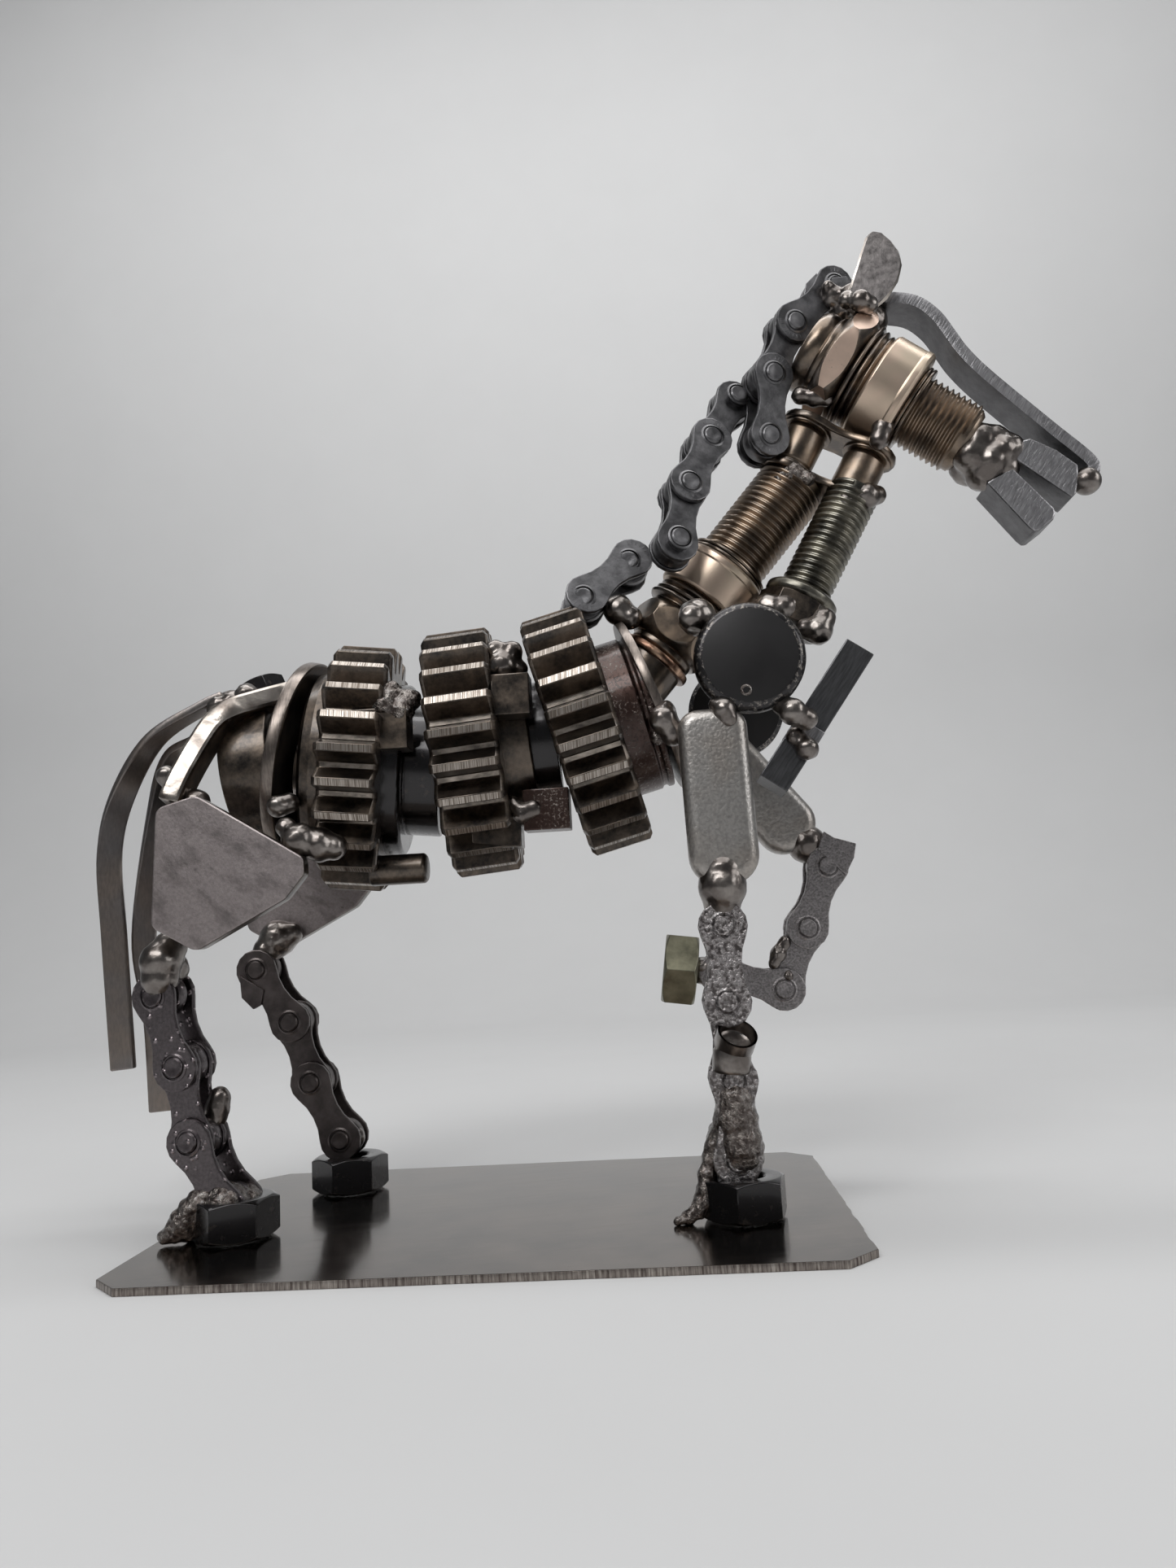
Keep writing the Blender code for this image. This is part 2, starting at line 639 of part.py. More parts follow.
def build_tail():
    """Two strips that leave the rump flat and hang down edge on, so each turns by a quarter on its way."""
    long_line = [(-52.5, 53.0), (-57.1, 51.2), (-67, 45.3), (-73.5, 34.4), (-75.9, 23.3), (-74.9, 7.6),
                 (-72.9, -17.7)]
    short_line = [(-53, 48.5), (-60, 45.5), (-65.3, 41.9), (-68, 30.7), (-70.9, 7.3), (-68.5, -8.2),
                  (-67.3, -26.2)]
    turns = [0, 0, 20, 45, 65, 80, 90]
    widths = [Y * cos(radians(turn)) + X * sin(radians(turn)) for turn in turns]
    for name, line, y in (("long_tail_strip", long_line, 3.0), ("short_tail_strip", short_line, 7.0)):
        path = [body(x, y, z) for x, z in line]
        fit(name, [strip(path, TAIL_WIDTH, TAIL_THICKNESS, widths)], SATIN_STEEL, 0.3)


def build_hind_legs(near_pins, far_pins):
    near_welds = [bead(near_pins[0] + Vector((0.5, -1.5, 5.2)) * MM, 3.9 * MM),
                  bead(near_pins[-1] + Vector((-1.0, 0, 1.5)) * MM, 4.4 * MM, (1.1, 1, 0.9))]
    fit("hind_near_leg", chain(near_pins, Y + X * 0.15) + near_welds, CHAIN_STEEL, 0.35)
    far_welds = [bead(far_pins[0] + Vector((3.0, 1.5, 6.2)) * MM, 4.2 * MM, (1.2, 1, 1)),
                 bead(far_pins[-1] + Vector((-0.5, 0, 1.0)) * MM, 3.9 * MM)]
    fit("hind_far_leg", chain(far_pins, Y) + far_welds, CHAIN_STEEL, 0.35)


def build_shoulders():
    """The cast bars at the shoulders, the domed discs on them and the square bar across the chest."""
    outline = rounded(rectangle(SHOULDER_BAR_WIDTH, SHOULDER_BAR_LENGTH), SHOULDER_BAR_CORNER)
    near_at = body(41.3, -15.0, 24.9)
    near_bar = prism(outline, SHOULDER_BAR_THICKNESS, frame(near_at, -Y, Vector((1, 0, 0.02))), 0.8 * MM)
    near_weld = bead(body(33.8, -12.6, 39.8), 3.5 * MM, (1, 1.1, 1))
    fit("near_shoulder_bar", [near_bar, near_weld], SATIN_STEEL, 0.45)
    far_at = body(50.0, 16.0, 30.0)
    far_across = Vector((0.788, 0, 0.615))
    far_bar = prism(outline, SHOULDER_BAR_THICKNESS, frame(far_at, -Y, far_across), 0.8 * MM)
    corner = (far_at + far_across.cross(Y) * (SHOULDER_BAR_LENGTH / 2 - SHOULDER_BAR_CORNER)
              - far_across * (SHOULDER_BAR_WIDTH / 2 - SHOULDER_BAR_CORNER))
    washer_rim = body(34.5, 15.2, 43.0)
    far_weld = bead((corner + washer_rim) / 2, (corner - washer_rim).length / 2 + BAR_WELD_OVERLAP)
    fit("far_shoulder_bar", [far_bar, far_weld], SATIN_STEEL, 0.45)
    return near_at, far_at


def build_discs(near_bar_at, far_bar_at):
    rim = 1.2 * MM
    half = DISC_THICKNESS / 2
    profile = [(0, half), (DISC_RADIUS - rim, half), (DISC_RADIUS, half - rim), (DISC_RADIUS, rim - half),
               (DISC_RADIUS - rim, -half), (0, -half)]
    near_at = Vector((near_bar_at.x + 7.1 * MM, near_bar_at.y - SHOULDER_BAR_THICKNESS / 2 + half,
                      near_bar_at.z + SHOULDER_BAR_LENGTH / 2 + DISC_RADIUS - 1.0 * MM))
    disc = turned(profile, frame(near_at, -Y))
    welds = [bead(near_at + Vector((-4.3, 0.5, -8.9)) * MM, 3.1 * MM),
             bead(near_at + Vector((-8.2, 6.0, 8.6)) * MM, 3.6 * MM, (1, 1.7, 1))]
    fit("near_shoulder_disc", [disc, *welds], DARK_STEEL, 0.3)
    far_at = Vector((near_at.x, far_bar_at.y + SHOULDER_BAR_THICKNESS / 2 + GAP + half, near_at.z - 2 * MM))
    disc = turned(profile, frame(far_at, Y))
    weld = bead(far_at + Vector((-5.0, -1.5, -9.0)) * MM, 3.1 * MM, (1, 1.4, 1))
    fit("far_shoulder_disc", [disc, weld], DARK_STEEL, 0.3)
    return near_at


def build_chest(disc_at):
    along = Vector((-0.59, 0, -0.807)).normalized()
    middle = body(59.8, -8.0, 38.7)
    block = box((CHEST_BLOCK_LENGTH, CHEST_BLOCK_DEPTH, CHEST_BLOCK_HEIGHT),
                frame(middle, along.cross(Y), along))
    welds = [bead(disc_at + Vector((8.2, 4.0, -7.6)) * MM, 3.2 * MM, (1, 1.2, 1)),
             bead(body(64.0, -4.0, 53.6), 3.6 * MM, (1, 1.3, 1))]
    fit("chest_block", [block, *welds], DARK_STEEL, 0.35)


def build_throat():
    """One link of motorcycle chain on its side: two figure-of-eight plates with two rollers between."""
    middle = body(68.4, 3.5, 91.6)
    along = Vector((0.866, 0, -0.5))
    up = Vector((0.5, 0, 0.866))
    plate = link_outline(LINK_PITCH, LINK_END_RADIUS, LINK_WAIST)
    offset = (LINK_INSIDE + LINK_PLATE) / 2
    shapes = [prism(plate, LINK_PLATE, frame(middle + up * hand * offset, up, along)) for hand in (1, -1)]
    for hand in (1, -1):
        pin = middle + along * hand * LINK_PITCH / 2
        shapes.append(rod(pin - up * offset, pin + up * offset, LINK_ROLLER_RADIUS))
    fit("throat_link", shapes, BRONZED, 0.35)
    return middle, along, up, offset + LINK_PLATE / 2


def build_neck(throat):
    middle, along, up, half = throat
    lean = Vector((0.66, 0, 0.75)).normalized()
    top = middle - along * 4.2 * MM - up * half + Y * 1.5 * MM
    length = NECK_TAIL_LENGTH + NECK_HEX_LENGTH + PLUG_GROOVE_LENGTH + PLUG_COLLAR_LENGTH + NECK_THREAD_LENGTH
    place = frame(top - lean * (length - 1.5 * MM), lean, Y)
    weld = bead(top - along * 5.0 * MM - up * 1.0 * MM - Y * 4 * MM, 2.8 * MM)
    plug = plug_body(place, NECK_THREAD_LENGTH, NECK_COLLAR_RADIUS, (NECK_TAIL_RADIUS, NECK_TAIL_LENGTH),
                     NECK_HEX_ACROSS, NECK_HEX_LENGTH)
    fit("neck_plug", [*plug, weld], BRONZED, 0.35)

    # The bolt stands square to the throat link, under its front pin
    bolt_top = middle + along * 7.2 * MM - up * half - Y * 3.0 * MM
    length = BOLT_HEAD_HEIGHT + BOLT_FLANGE_THICKNESS + BOLT_THREAD_LENGTH
    foot = bolt_top - up * (length - 2.0 * MM)
    flange = foot + up * BOLT_HEAD_HEIGHT
    shapes = [
        rod(flange, foot + up * length, BOLT_THREAD_RADIUS),
        prism(hexagon(BOLT_HEAD_ACROSS), BOLT_HEAD_HEIGHT + BOLT_FLANGE_THICKNESS / 2,
              frame(foot + up * (BOLT_HEAD_HEIGHT + BOLT_FLANGE_THICKNESS / 2) / 2, up)),
        rod(flange, flange + up * BOLT_FLANGE_THICKNESS, BOLT_FLANGE_RADIUS),
        bead(bolt_top - up * 1.5 * MM + along * 3.0 * MM, 3.0 * MM),
    ]
    fit("neck_bolt", shapes, SATIN_STEEL, 0.35)


def build_head(throat):
    """The plug that lies on the throat link, and the jaws welded to its thread."""
    middle, along, up, half = throat
    nose_down = Vector((0.795, 0, -0.606)).normalized()
    collar_at = middle + up * (half + GAP + HEAD_COLLAR_RADIUS) + along * 4.8 * MM - Y * 1.5 * MM
    thread_end = collar_at + nose_down * (PLUG_COLLAR_LENGTH / 2 + HEAD_THREAD_LENGTH)
    length = HEAD_TAIL_LENGTH + HEAD_HEX_LENGTH + PLUG_GROOVE_LENGTH + PLUG_COLLAR_LENGTH + HEAD_THREAD_LENGTH
    place = frame(thread_end - nose_down * length, nose_down, Y)
    plug = plug_body(place, HEAD_THREAD_LENGTH, HEAD_COLLAR_RADIUS, (HEAD_TAIL_RADIUS, HEAD_TAIL_LENGTH),
                     HEAD_HEX_ACROSS, HEAD_HEX_LENGTH)
    fit("head_plug", plug, BRONZED, 0.35)
    return thread_end


def build_jaws(thread_end):
    upper = [(6.9, -5.4), (8.1, -2.1), (10.4, -1.6), (18.5, -7.6), (17.9, -12.6), (16.7, -14.0)]
    lower = [(1.4, -9.7), (6.4, -7.2), (13.2, -15.8), (12.8, -18.0), (9.1, -20.1), (8.2, -19.2)]
    weld = bead(thread_end + Vector((3.6, -0.8, -3.4)) * MM, 4.8 * MM, (1, 1.2, 1))
    place = frame(thread_end, -Y)
    shape = prism([(x * MM, z * MM) for x, z in upper], JAW_DEPTH, place)
    fit("upper_jaw", [shape, weld], SATIN_STEEL, 0.35)
    weld = bead(thread_end + Vector((1.0, 0.5, -6.8)) * MM, 4.4 * MM, (1, 1.2, 1))
    shape = prism([(x * MM, z * MM) for x, z in lower], JAW_DEPTH, place)
    fit("lower_jaw", [shape, weld], SATIN_STEEL, 0.35)


def build_mane():
    crest = pins_along(body(71.6, 4.5, 128.2), (-8.6, -2.7, -8.6), (-5.3, -2.0, -11.3), (-1.7, 0, -12.6))
    weld = bead(crest[0] + Vector((4.5, -1.0, -1.0)) * MM, 4.0 * MM, (1.2, 1.2, 1))
    fit("crest_chain", [*chain(crest, pin_way(crest)), weld], CHAIN_STEEL, 0.4)
    mane = pins_along(body(50.6, 3.5, 105.5), (-6.0, -4.5, -10.4), (-5.2, -4.5, -11.0), (-2.8, -3.5, -12.0))
    weld = bead(mane[-1] + Vector((4.5, 3.5, -2.0)) * MM, 3.8 * MM)
    fit("mane_chain", [*chain(mane, pin_way(mane), outer=False), weld], CHAIN_STEEL, 0.4)
    withers = pins_along(body(28.3, 3.0, 73.6), (-8.9, -4.2, -8.0))
    weld = bead(withers[0] + Vector((3.0, -3.0, -1.5)) * MM, 3.4 * MM)
    fit("withers_chain", [*chain(withers, Y), weld], CHAIN_STEEL, 0.4)


def build_crown(thread_end):
    """The strip over the brow and the two ears, all welded to the top of the crest."""
    line = [(77.5, 122.8), (82.0, 122.4), (87.0, 121.2), (90.6, 118.0), (93.0, 113.8), (95.2, 109.8),
            (99.4, 104.4), (109.6, 93.3), (116.2, 86.2), (116.6, 83.6)]
    path = [Vector((x * MM, thread_end.y, BODY_HEIGHT + z * MM)) for x, z in line]
    strap = strip(path, BROW_STRAP_WIDTH, BROW_STRAP_THICKNESS, [Y] * len(path))
    welds = [bead(path[0] + Vector((1.5, 0, -3.0)) * MM, 4.2 * MM, (1, 1, 1.3)),
             bead(path[-1] + Vector((-0.9, -2.5, -1.0)) * MM, NOSE_BEAD_RADIUS)]
    fit("brow_strap", [strap, *welds], SATIN_STEEL, 0.35)

    # Height along the ear, half width, and how far the middle has moved towards the nose
    sections = [(0, 2.2, 0), (3, 4.0, 0.4), (7, 4.4, 1.1), (11, 3.4, 1.8), (14.5, 1.8, 2.0), (17, 0.5, 1.6)]
    for name, hand in (("near_ear", -1), ("far_ear", 1)):
        rings = []
        for height, half, shift in sections:
            deep = EAR_THICKNESS / MM / 2 * min(1, half / 3)
            rings.append([Vector((shift + half * a, hand * 0.12 * height + deep * b, height)) * MM
                          for a, b in circle(1, 8)])
        at = Vector((78.0 * MM, thread_end.y + hand * 5.5 * MM, BODY_HEIGHT + 120.4 * MM))
        ear = loft(rings, frame(at, Vector((0.12, 0.1 * hand, 1)), X))
        weld = bead(at + Vector((-1.5, -2.5 * hand, 2.5)) * MM, 3.0 * MM)
        fit(name, [ear, weld], SATIN_STEEL, 0.3)


def build_fore_legs(near_pins, far_pins):
    """The standing leg, and the lifted one that ends in a nut held out behind its last link."""
    welds = [bead(near_pins[0] + Vector((0.8, 0, 8.2)) * MM, 4.4 * MM, (0.95, 1, 1.2)),
             bead(near_pins[-1] + Vector((0, -1.0, 4.5)) * MM, 4.2 * MM, (0.95, 1, 1.4))]
    fit("fore_near_leg", chain(near_pins, Y) + welds, CHAIN_STEEL, 0.35)
    welds = [bead(far_pins[0] + Vector((-3.2, 0, 4.6)) * MM, 4.2 * MM),
             bead(far_pins[-1] + Vector((-3.4, 0, 0.8)) * MM, 2.8 * MM)]
    fit("fore_far_leg", chain(far_pins, Y) + welds, CHAIN_STEEL, 0.35)


def main():
    global parts, cutters
    for thing in list(bpy.data.objects):
        bpy.data.objects.remove(thing)
    parts = bpy.data.collections.new("scrap_metal_horse")
    cutters = bpy.data.collections.new("cutters")
    bpy.context.scene.collection.children.link(parts)
    bpy.context.scene.collection.children.link(cutters)

    hind_near = pins_along(body(-57.7, -12.9, -3.8), (3.8, 0, -12.3), (2.4, 0, -12.6), (5.9, 0, -11.0))
    hind_far = pins_along(body(-52.4, 20.4, -0.6), (7.2, 0, -11.4), (4.0, 0, -12.0), (5.8, 0, -11.3))
    fore_near = pins_along(body(40.5, -13.5, 2.9), (-0.2, 0, -12.7), (0.1, 0, -12.7), (-0.3, 0, -12.7))
    fore_far = pins_along(body(63.3, 16.0, 13.5), (-4.9, 0, -11.8), (-5.4, 0, -11.6), (-11.9, 0, 3.6))

    build_base()
    build_hooves({
        "hind_near_hoof": hind_near[-1] + X * 0.2 * MM,
        "hind_far_hoof": hind_far[-1] + X * 1.0 * MM,
        "fore_near_hoof": fore_near[-1] + X * 0.8 * MM,
    })
    back = Vector((-0.99, 0, 0.15))
    held_at = fore_far[-1] + back * (CHAIN_END_RADIUS + GAP)
    held_nut, bore = nut(held_at, back, NUT_ACROSS, NUT_HEIGHT, NUT_BORE_RADIUS, Y)
    fit("fore_far_hoof", [held_nut], ZINC, 0.35, [bore], [held_nut])

    rear_at = build_barrel()
    build_hips(rear_at)
    build_tail()
    near_bar_at, far_bar_at = build_shoulders()
    throat = build_throat()
    build_neck(throat)
    disc_at = build_discs(near_bar_at, far_bar_at)
    build_chest(disc_at)
    thread_end = build_head(throat)
    build_jaws(thread_end)
    build_crown(thread_end)
    build_mane()
    build_hind_legs(hind_near, hind_far)
    build_fore_legs(fore_near, fore_far)
    for leftover in list(cutters.objects):
        bpy.data.objects.remove(leftover)


main()
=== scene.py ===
"""Dresses the scrap metal horse: each piece of scrap modelled closely, its metal, and a plain studio.

Lengths are in millimetres, in the frame's axes; Scrap.done turns them into metres.
"""

from itertools import pairwise
from math import atan2, cos, degrees, pi, radians, sin, sqrt, tan
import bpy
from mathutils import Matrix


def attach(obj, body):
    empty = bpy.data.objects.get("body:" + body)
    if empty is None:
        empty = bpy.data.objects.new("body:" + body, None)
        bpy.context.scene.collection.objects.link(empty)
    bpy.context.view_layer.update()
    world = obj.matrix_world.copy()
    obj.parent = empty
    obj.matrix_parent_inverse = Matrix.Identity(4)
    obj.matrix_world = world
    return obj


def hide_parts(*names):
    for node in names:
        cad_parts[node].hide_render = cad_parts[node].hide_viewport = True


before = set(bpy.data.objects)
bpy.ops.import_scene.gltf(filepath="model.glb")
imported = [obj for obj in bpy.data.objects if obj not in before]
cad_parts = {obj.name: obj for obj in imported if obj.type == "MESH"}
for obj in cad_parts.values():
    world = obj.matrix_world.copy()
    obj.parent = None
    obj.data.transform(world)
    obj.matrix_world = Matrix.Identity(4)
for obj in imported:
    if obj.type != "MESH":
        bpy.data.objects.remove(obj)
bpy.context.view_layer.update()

from types import SimpleNamespace

import bmesh
import bpy
from bpy.props import FloatProperty, FloatVectorProperty, IntProperty, PointerProperty
from mathutils import Matrix, Vector, noise

bl_info = {
    "name": "Scrap Metal Horse",
    "version": (1, 0, 0),
    "blender": (4, 5, 0),
    "location": "View3D > Sidebar > Horse",
    "description": "A small horse welded from gears, chain, nuts and spark plug bodies",
    "category": "Object",
}

MM = 0.001
X = Vector((1, 0, 0))
Y = Vector((0, 1, 0))
Z = Vector((0, 0, 1))

# Edges sharper than this many degrees are shaded as edges, and those of a broad flat face sooner
EDGE_ANGLE = 34
FLAT_ANGLE = 11
FLAT_AREA = 3

# The room left for weld between pieces, and the horse's middle, which lies beside the frame's
GAP = 0.3
MIDDLE_Y = 3.5

REAR_WIDTH = 11.0
MIDDLE_WIDTH = 12.5
FRONT_WIDTH = 12.0
HIP_RING_THICKNESS = 2.5
HIP_BEARING_LENGTH = 9.0
BAR_HALF_LENGTH = 15.25
BAR_HALF_WIDTH = 6.0
BAR_THICKNESS = 6.0
DISC_RADIUS = 9.75
DISC_THICKNESS = 4.5

# Weld beads: how much their balls are swollen before they are smoothed, and how finely they are run together
WELD_SWELL = 1.1
WELD_VOXEL = 0.3

# The backdrop: where its curve starts behind the horse, that curve's radius, and its reach to all sides
SWEEP_START = 420
SWEEP_RADIUS = 260
BACKDROP_REACH = 1300

# The photograph, whose pixels the camera's length is given in
PHOTO_HEIGHT = 1927
CAMERA_PIXELS = 1336
SENSOR = 36


# Settings

def length(name, description, value):
    return FloatProperty(name=name, description=description, default=value * MM, min=0, unit="LENGTH",
                         precision=5)


def tint(name, description, *value):
    return FloatVectorProperty(name=name, description=description, default=value, subtype="COLOR", min=0,
                               max=1)


def watts(name, description, value):
    return FloatProperty(name=name, description=description, default=value, min=0, unit="POWER")


def sizes_of(part):
    """The lengths of one part of the horse in millimetres, and its counts as they are."""
    group = getattr(bpy.context.scene, "horse_" + part)
    sizes = SimpleNamespace()
    for key in type(group).__annotations__:
        value = getattr(group, key)
        setattr(sizes, key, value if isinstance(value, int) else value / MM)
    return sizes


class StandSizes(bpy.types.PropertyGroup):
    """The base plate and the hoof nuts."""

    plate_length: length("Plate length", "Base plate along the horse", 117)
    plate_width: length("Plate width", "Base plate across the horse", 78)
    plate_thickness: length("Plate thickness", "Base plate from underside to top", 1.2)
    plate_corner: length("Corner cut", "How far the plate's corners are cut back", 5)
    nut_across: length("Nut across flats", "Hoof nut between opposite flats", 13)
    nut_height: length("Nut height", "Hoof nut along its bore", 6.5)
    nut_bore: length("Nut bore", "Radius of a hoof nut's bore", 3.4)


class ChainSizes(bpy.types.PropertyGroup):
    """Bicycle chain."""

    pitch: length("Pitch", "Distance between a chain's pins", 12.7)
    end_radius: length("Plate end radius", "Radius of a side plate round its pin", 4.1)
    waist: length("Plate waist", "Half the height of a side plate between its pins", 2.7)
    plate: length("Plate thickness", "Thickness of a side plate", 1.0)
    width: length("Width", "Over the outer plates", 7.0)
    pin: length("Pin radius", "Radius of a rivet head", 1.9)
    roller: length("Roller radius", "Radius of a roller", 3.8)


class GearSizes(bpy.types.PropertyGroup):
    """The three gears of the barrel."""

    teeth: IntProperty(name="Teeth", description="Teeth round each gear", default=24, min=8)
    tip_radius: length("Tip radius", "Radius over a gear's teeth", 23.5)
    tooth_height: length("Tooth height", "From root to tip", 4.0)
    tip_land: length("Tip land", "Width of a tooth's ground tip", 1.5)
    root_land: length("Root land", "Width of the flat between teeth", 1.1)
    bore: length("Bore radius", "Radius of a gear's bore", 8.0)
    chamfer: length("Tooth chamfer", "How far the ends of the teeth are chamfered", 0.9)


class PlugSizes(bpy.types.PropertyGroup):
    """The spark plug bodies of the neck and the head."""

    thread: length("Thread radius", "Outer radius of a plug's thread", 7.0)
    thread_pitch: length("Thread pitch", "Distance between crests", 1.25)
    collar_length: length("Collar length", "Length of the satin collar", 8.2)
    groove: length("Groove length", "Length of the grooved rings", 4.0)
    neck_thread: length("Neck thread length", "Thread of the neck plug", 24.0)
    neck_collar: length("Neck collar radius", "Radius of the neck plug's collar", 9.4)
    neck_across: length("Neck across flats", "Hexagon of the neck plug", 16.0)
    neck_hexagon: length("Neck hexagon length", "Hexagon of the neck plug along its axis", 7.6)
    neck_tail: length("Neck tail radius", "Radius behind the neck plug's hexagon", 6.6)
    neck_end: length("Neck tail length", "Length behind the neck plug's hexagon", 10.0)
    head_thread: length("Head thread length", "Thread of the head plug", 14.0)
    head_collar: length("Head collar radius", "Radius of the head plug's collar", 10.6)
    head_across: length("Head across flats", "Hexagon of the head plug", 20.8)
    head_hexagon: length("Head hexagon length", "Hexagon of the head plug along its axis", 5.6)
    head_tail: length("Head tail radius", "Radius behind the head plug's hexagon", 8.4)
    head_end: length("Head tail length", "Length behind the head plug's hexagon", 5.0)


class MetalColours(bpy.types.PropertyGroup):
    """Colours of the metals under their lacquer."""

    black: tint("Black steel", "Nuts, discs and base plate", 0.034, 0.032, 0.033)
    dark: tint("Dark steel", "Gears and square bar", 0.066, 0.059, 0.055)
    ground: tint("Ground steel", "Tooth tips and cut edges", 0.56, 0.51, 0.46)
    satin: tint("Satin steel", "Thigh plates and strips", 0.26, 0.24, 0.235)
    cast: tint("Cast steel", "Shoulder bars", 0.46, 0.44, 0.42)
    chain: tint("Chain steel", "Legs and mane", 0.125, 0.118, 0.117)
    bronze: tint("Bronzed steel", "Threads and rollers", 0.30, 0.227, 0.165)
    champagne: tint("Champagne satin", "Plug collars", 0.60, 0.50, 0.385)
    rose: tint("Rose satin", "Hexagon flats", 0.72, 0.545, 0.44)
    rust: tint("Rust", "Front gear's hub", 0.10, 0.060, 0.050)
    zinc: tint("Yellowed zinc", "Raised hoof nut", 0.29, 0.28, 0.20)
    weld: tint("Weld metal", "Weld beads", 0.27, 0.245, 0.225)
    purple: tint("Purple tinge", "Near hind leg", 0.12, 0.096, 0.104)
    frost: tint("Frost", "Raised foreleg", 0.44, 0.41, 0.41)
    mane: tint("Mane steel", "Chains of the mane", 0.13, 0.133, 0.142)
    plate: tint("Plate steel", "Thigh plates", 0.33, 0.285, 0.28)
    slate: tint("Slate steel", "Bar across the chest", 0.05, 0.053, 0.058)
    sawn: tint("Sawn steel", "Cut faces of the head", 0.24, 0.245, 0.26)
    copper: tint("Copper", "Worn patch of the gasket", 0.80, 0.54, 0.38)
    copper_dark: tint("Dull copper", "Rest of the gasket", 0.16, 0.09, 0.06)
    bolt: tint("Bolt steel", "Bright patches of the neck bolt", 0.28, 0.262, 0.215)
    bolt_dark: tint("Dull bolt steel", "Dark patches of the neck bolt", 0.075, 0.072, 0.062)


class StudioSettings(bpy.types.PropertyGroup):
    """Floor and light."""

    floor: tint("Floor", "The pale floor and the backdrop", 0.60, 0.60, 0.60)
    overhead: watts("Overhead light", "Light over the horse's back", 1.0)
    front: watts("Front light", "Light before the horse", 1.7)
    backdrop: watts("Backdrop light", "Light on the backdrop", 5.5)
    side: watts("Side light", "Light before the horse's head", 0.6)
    surround: FloatProperty(name="Surround", description="Strength of the light from all round", default=0.12,
                            min=0, subtype="FACTOR")


# Shader maths

class Signal:
    """What a node puts out, so that shader maths reads as plain arithmetic."""

    def __init__(self, metal, socket):
        self.metal = metal
        self.socket = socket

    def maths(self, operation, *values):
        return self.metal.node("ShaderNodeMath", {"operation": operation}, dict(enumerate(values)))

    def __add__(self, other):
        return self.maths("ADD", self, other)

    def __rsub__(self, other):
        return self.maths("SUBTRACT", other, self)

    def __mul__(self, other):
        return self.maths("MULTIPLY", self, other)

    __radd__ = __add__
    __rmul__ = __mul__

    def between(self, low, high):
        """0 where this is low, 1 where it is high, and held there beyond."""
        return self.metal.node("ShaderNodeMapRange", {"clamp": True},
                               {"Value": self, "From Min": low, "From Max": high})


class Metal:
    """A lacquered metal: its colour, roughness and relief are worked out from the piece's own coordinates."""

    def __init__(self, name, coat=0.35, coat_roughness=0.12, metallic=1.0):
        self.material = bpy.data.materials.new(name)
        self.material.use_nodes = True
        self.tree = self.material.node_tree
        self.shader = self.tree.nodes["Principled BSDF"]
        self.shader.inputs["Metallic"].default_value = metallic
        self.shader.inputs["Coat Weight"].default_value = coat
        self.shader.inputs["Coat Roughness"].default_value = coat_roughness
        self.coordinates = self.node("ShaderNodeTexCoord", output="Object")

    def node(self, kind, settings=None, values=None, output=0):
        """Adds a node with settings, and values or signals for its sockets; returns one of its outputs."""
        node = self.tree.nodes.new(kind)
        for key, value in (settings or {}).items():
            setattr(node, key, value)
        for key, value in (values or {}).items():
            self.feed(node.inputs[key], value)
        return Signal(self, node.outputs[output])

    def feed(self, socket, value):
        if isinstance(value, Signal):
            self.tree.links.new(value.socket, socket)
        else:
            socket.default_value = value

    def turned(self, angles=(0, 0, 0), stretch=(1, 1, 1)):
        """The piece's coordinates, turned by degrees and then stretched."""
        at = self.node("ShaderNodeMapping", {"vector_type": "TEXTURE"},
                       {"Vector": self.coordinates, "Rotation": [radians(angle) for angle in angles]})
        return self.node("ShaderNodeVectorMath", {"operation": "MULTIPLY"}, {0: at, 1: stretch})

    def cloud(self, grain, detail=4.0, at=None, roughness=0.6):
        """Noise whose patches are about grain millimetres wide."""
        return self.node("ShaderNodeTexNoise", None,
                         {"Vector": at or self.coordinates, "Scale": 1 / (grain * MM), "Detail": detail,
                          "Roughness": roughness})

    def pebbles(self, grain, at=None):
        """Distance from the middle of pebbles about grain millimetres wide."""
        return self.node("ShaderNodeTexVoronoi", {"feature": "SMOOTH_F1"},
                         {"Vector": at or self.coordinates, "Scale": 1 / (grain * MM), "Smoothness": 0.4})

    def blend(self, share, first, second):
        """A mix of two colours."""
        colour = [value if isinstance(value, Signal) else (*value, 1) for value in (first, second)]
        return self.node("ShaderNodeMix", {"data_type": "RGBA"}, {0: share, 6: colour[0], 7: colour[1]}, 2)

    def relief(self, height, depth, strength=1.0, under=None):
        """Adds bumps whose height runs over depth millimetres."""
        values = {"Height": height, "Distance": depth * MM, "Strength": strength}
        if under:
            values["Normal"] = under
        return self.node("ShaderNodeBump", None, values)

    def finish(self, colour, roughness, normal=None):
        self.feed(self.shader.inputs["Base Color"], colour if isinstance(colour, Signal) else (*colour, 1))
        self.feed(self.shader.inputs["Roughness"], roughness)
        if normal:
            self.feed(self.shader.inputs["Normal"], normal)
        return self.material


def shade(colour, factor):
    """A lighter or darker version of a colour."""
    return tuple(min(1, part * factor) for part in colour)


def toned(colour, other, share):
    return tuple(a + (b - a) * share for a, b in zip(colour, other))


# Metals of this horse

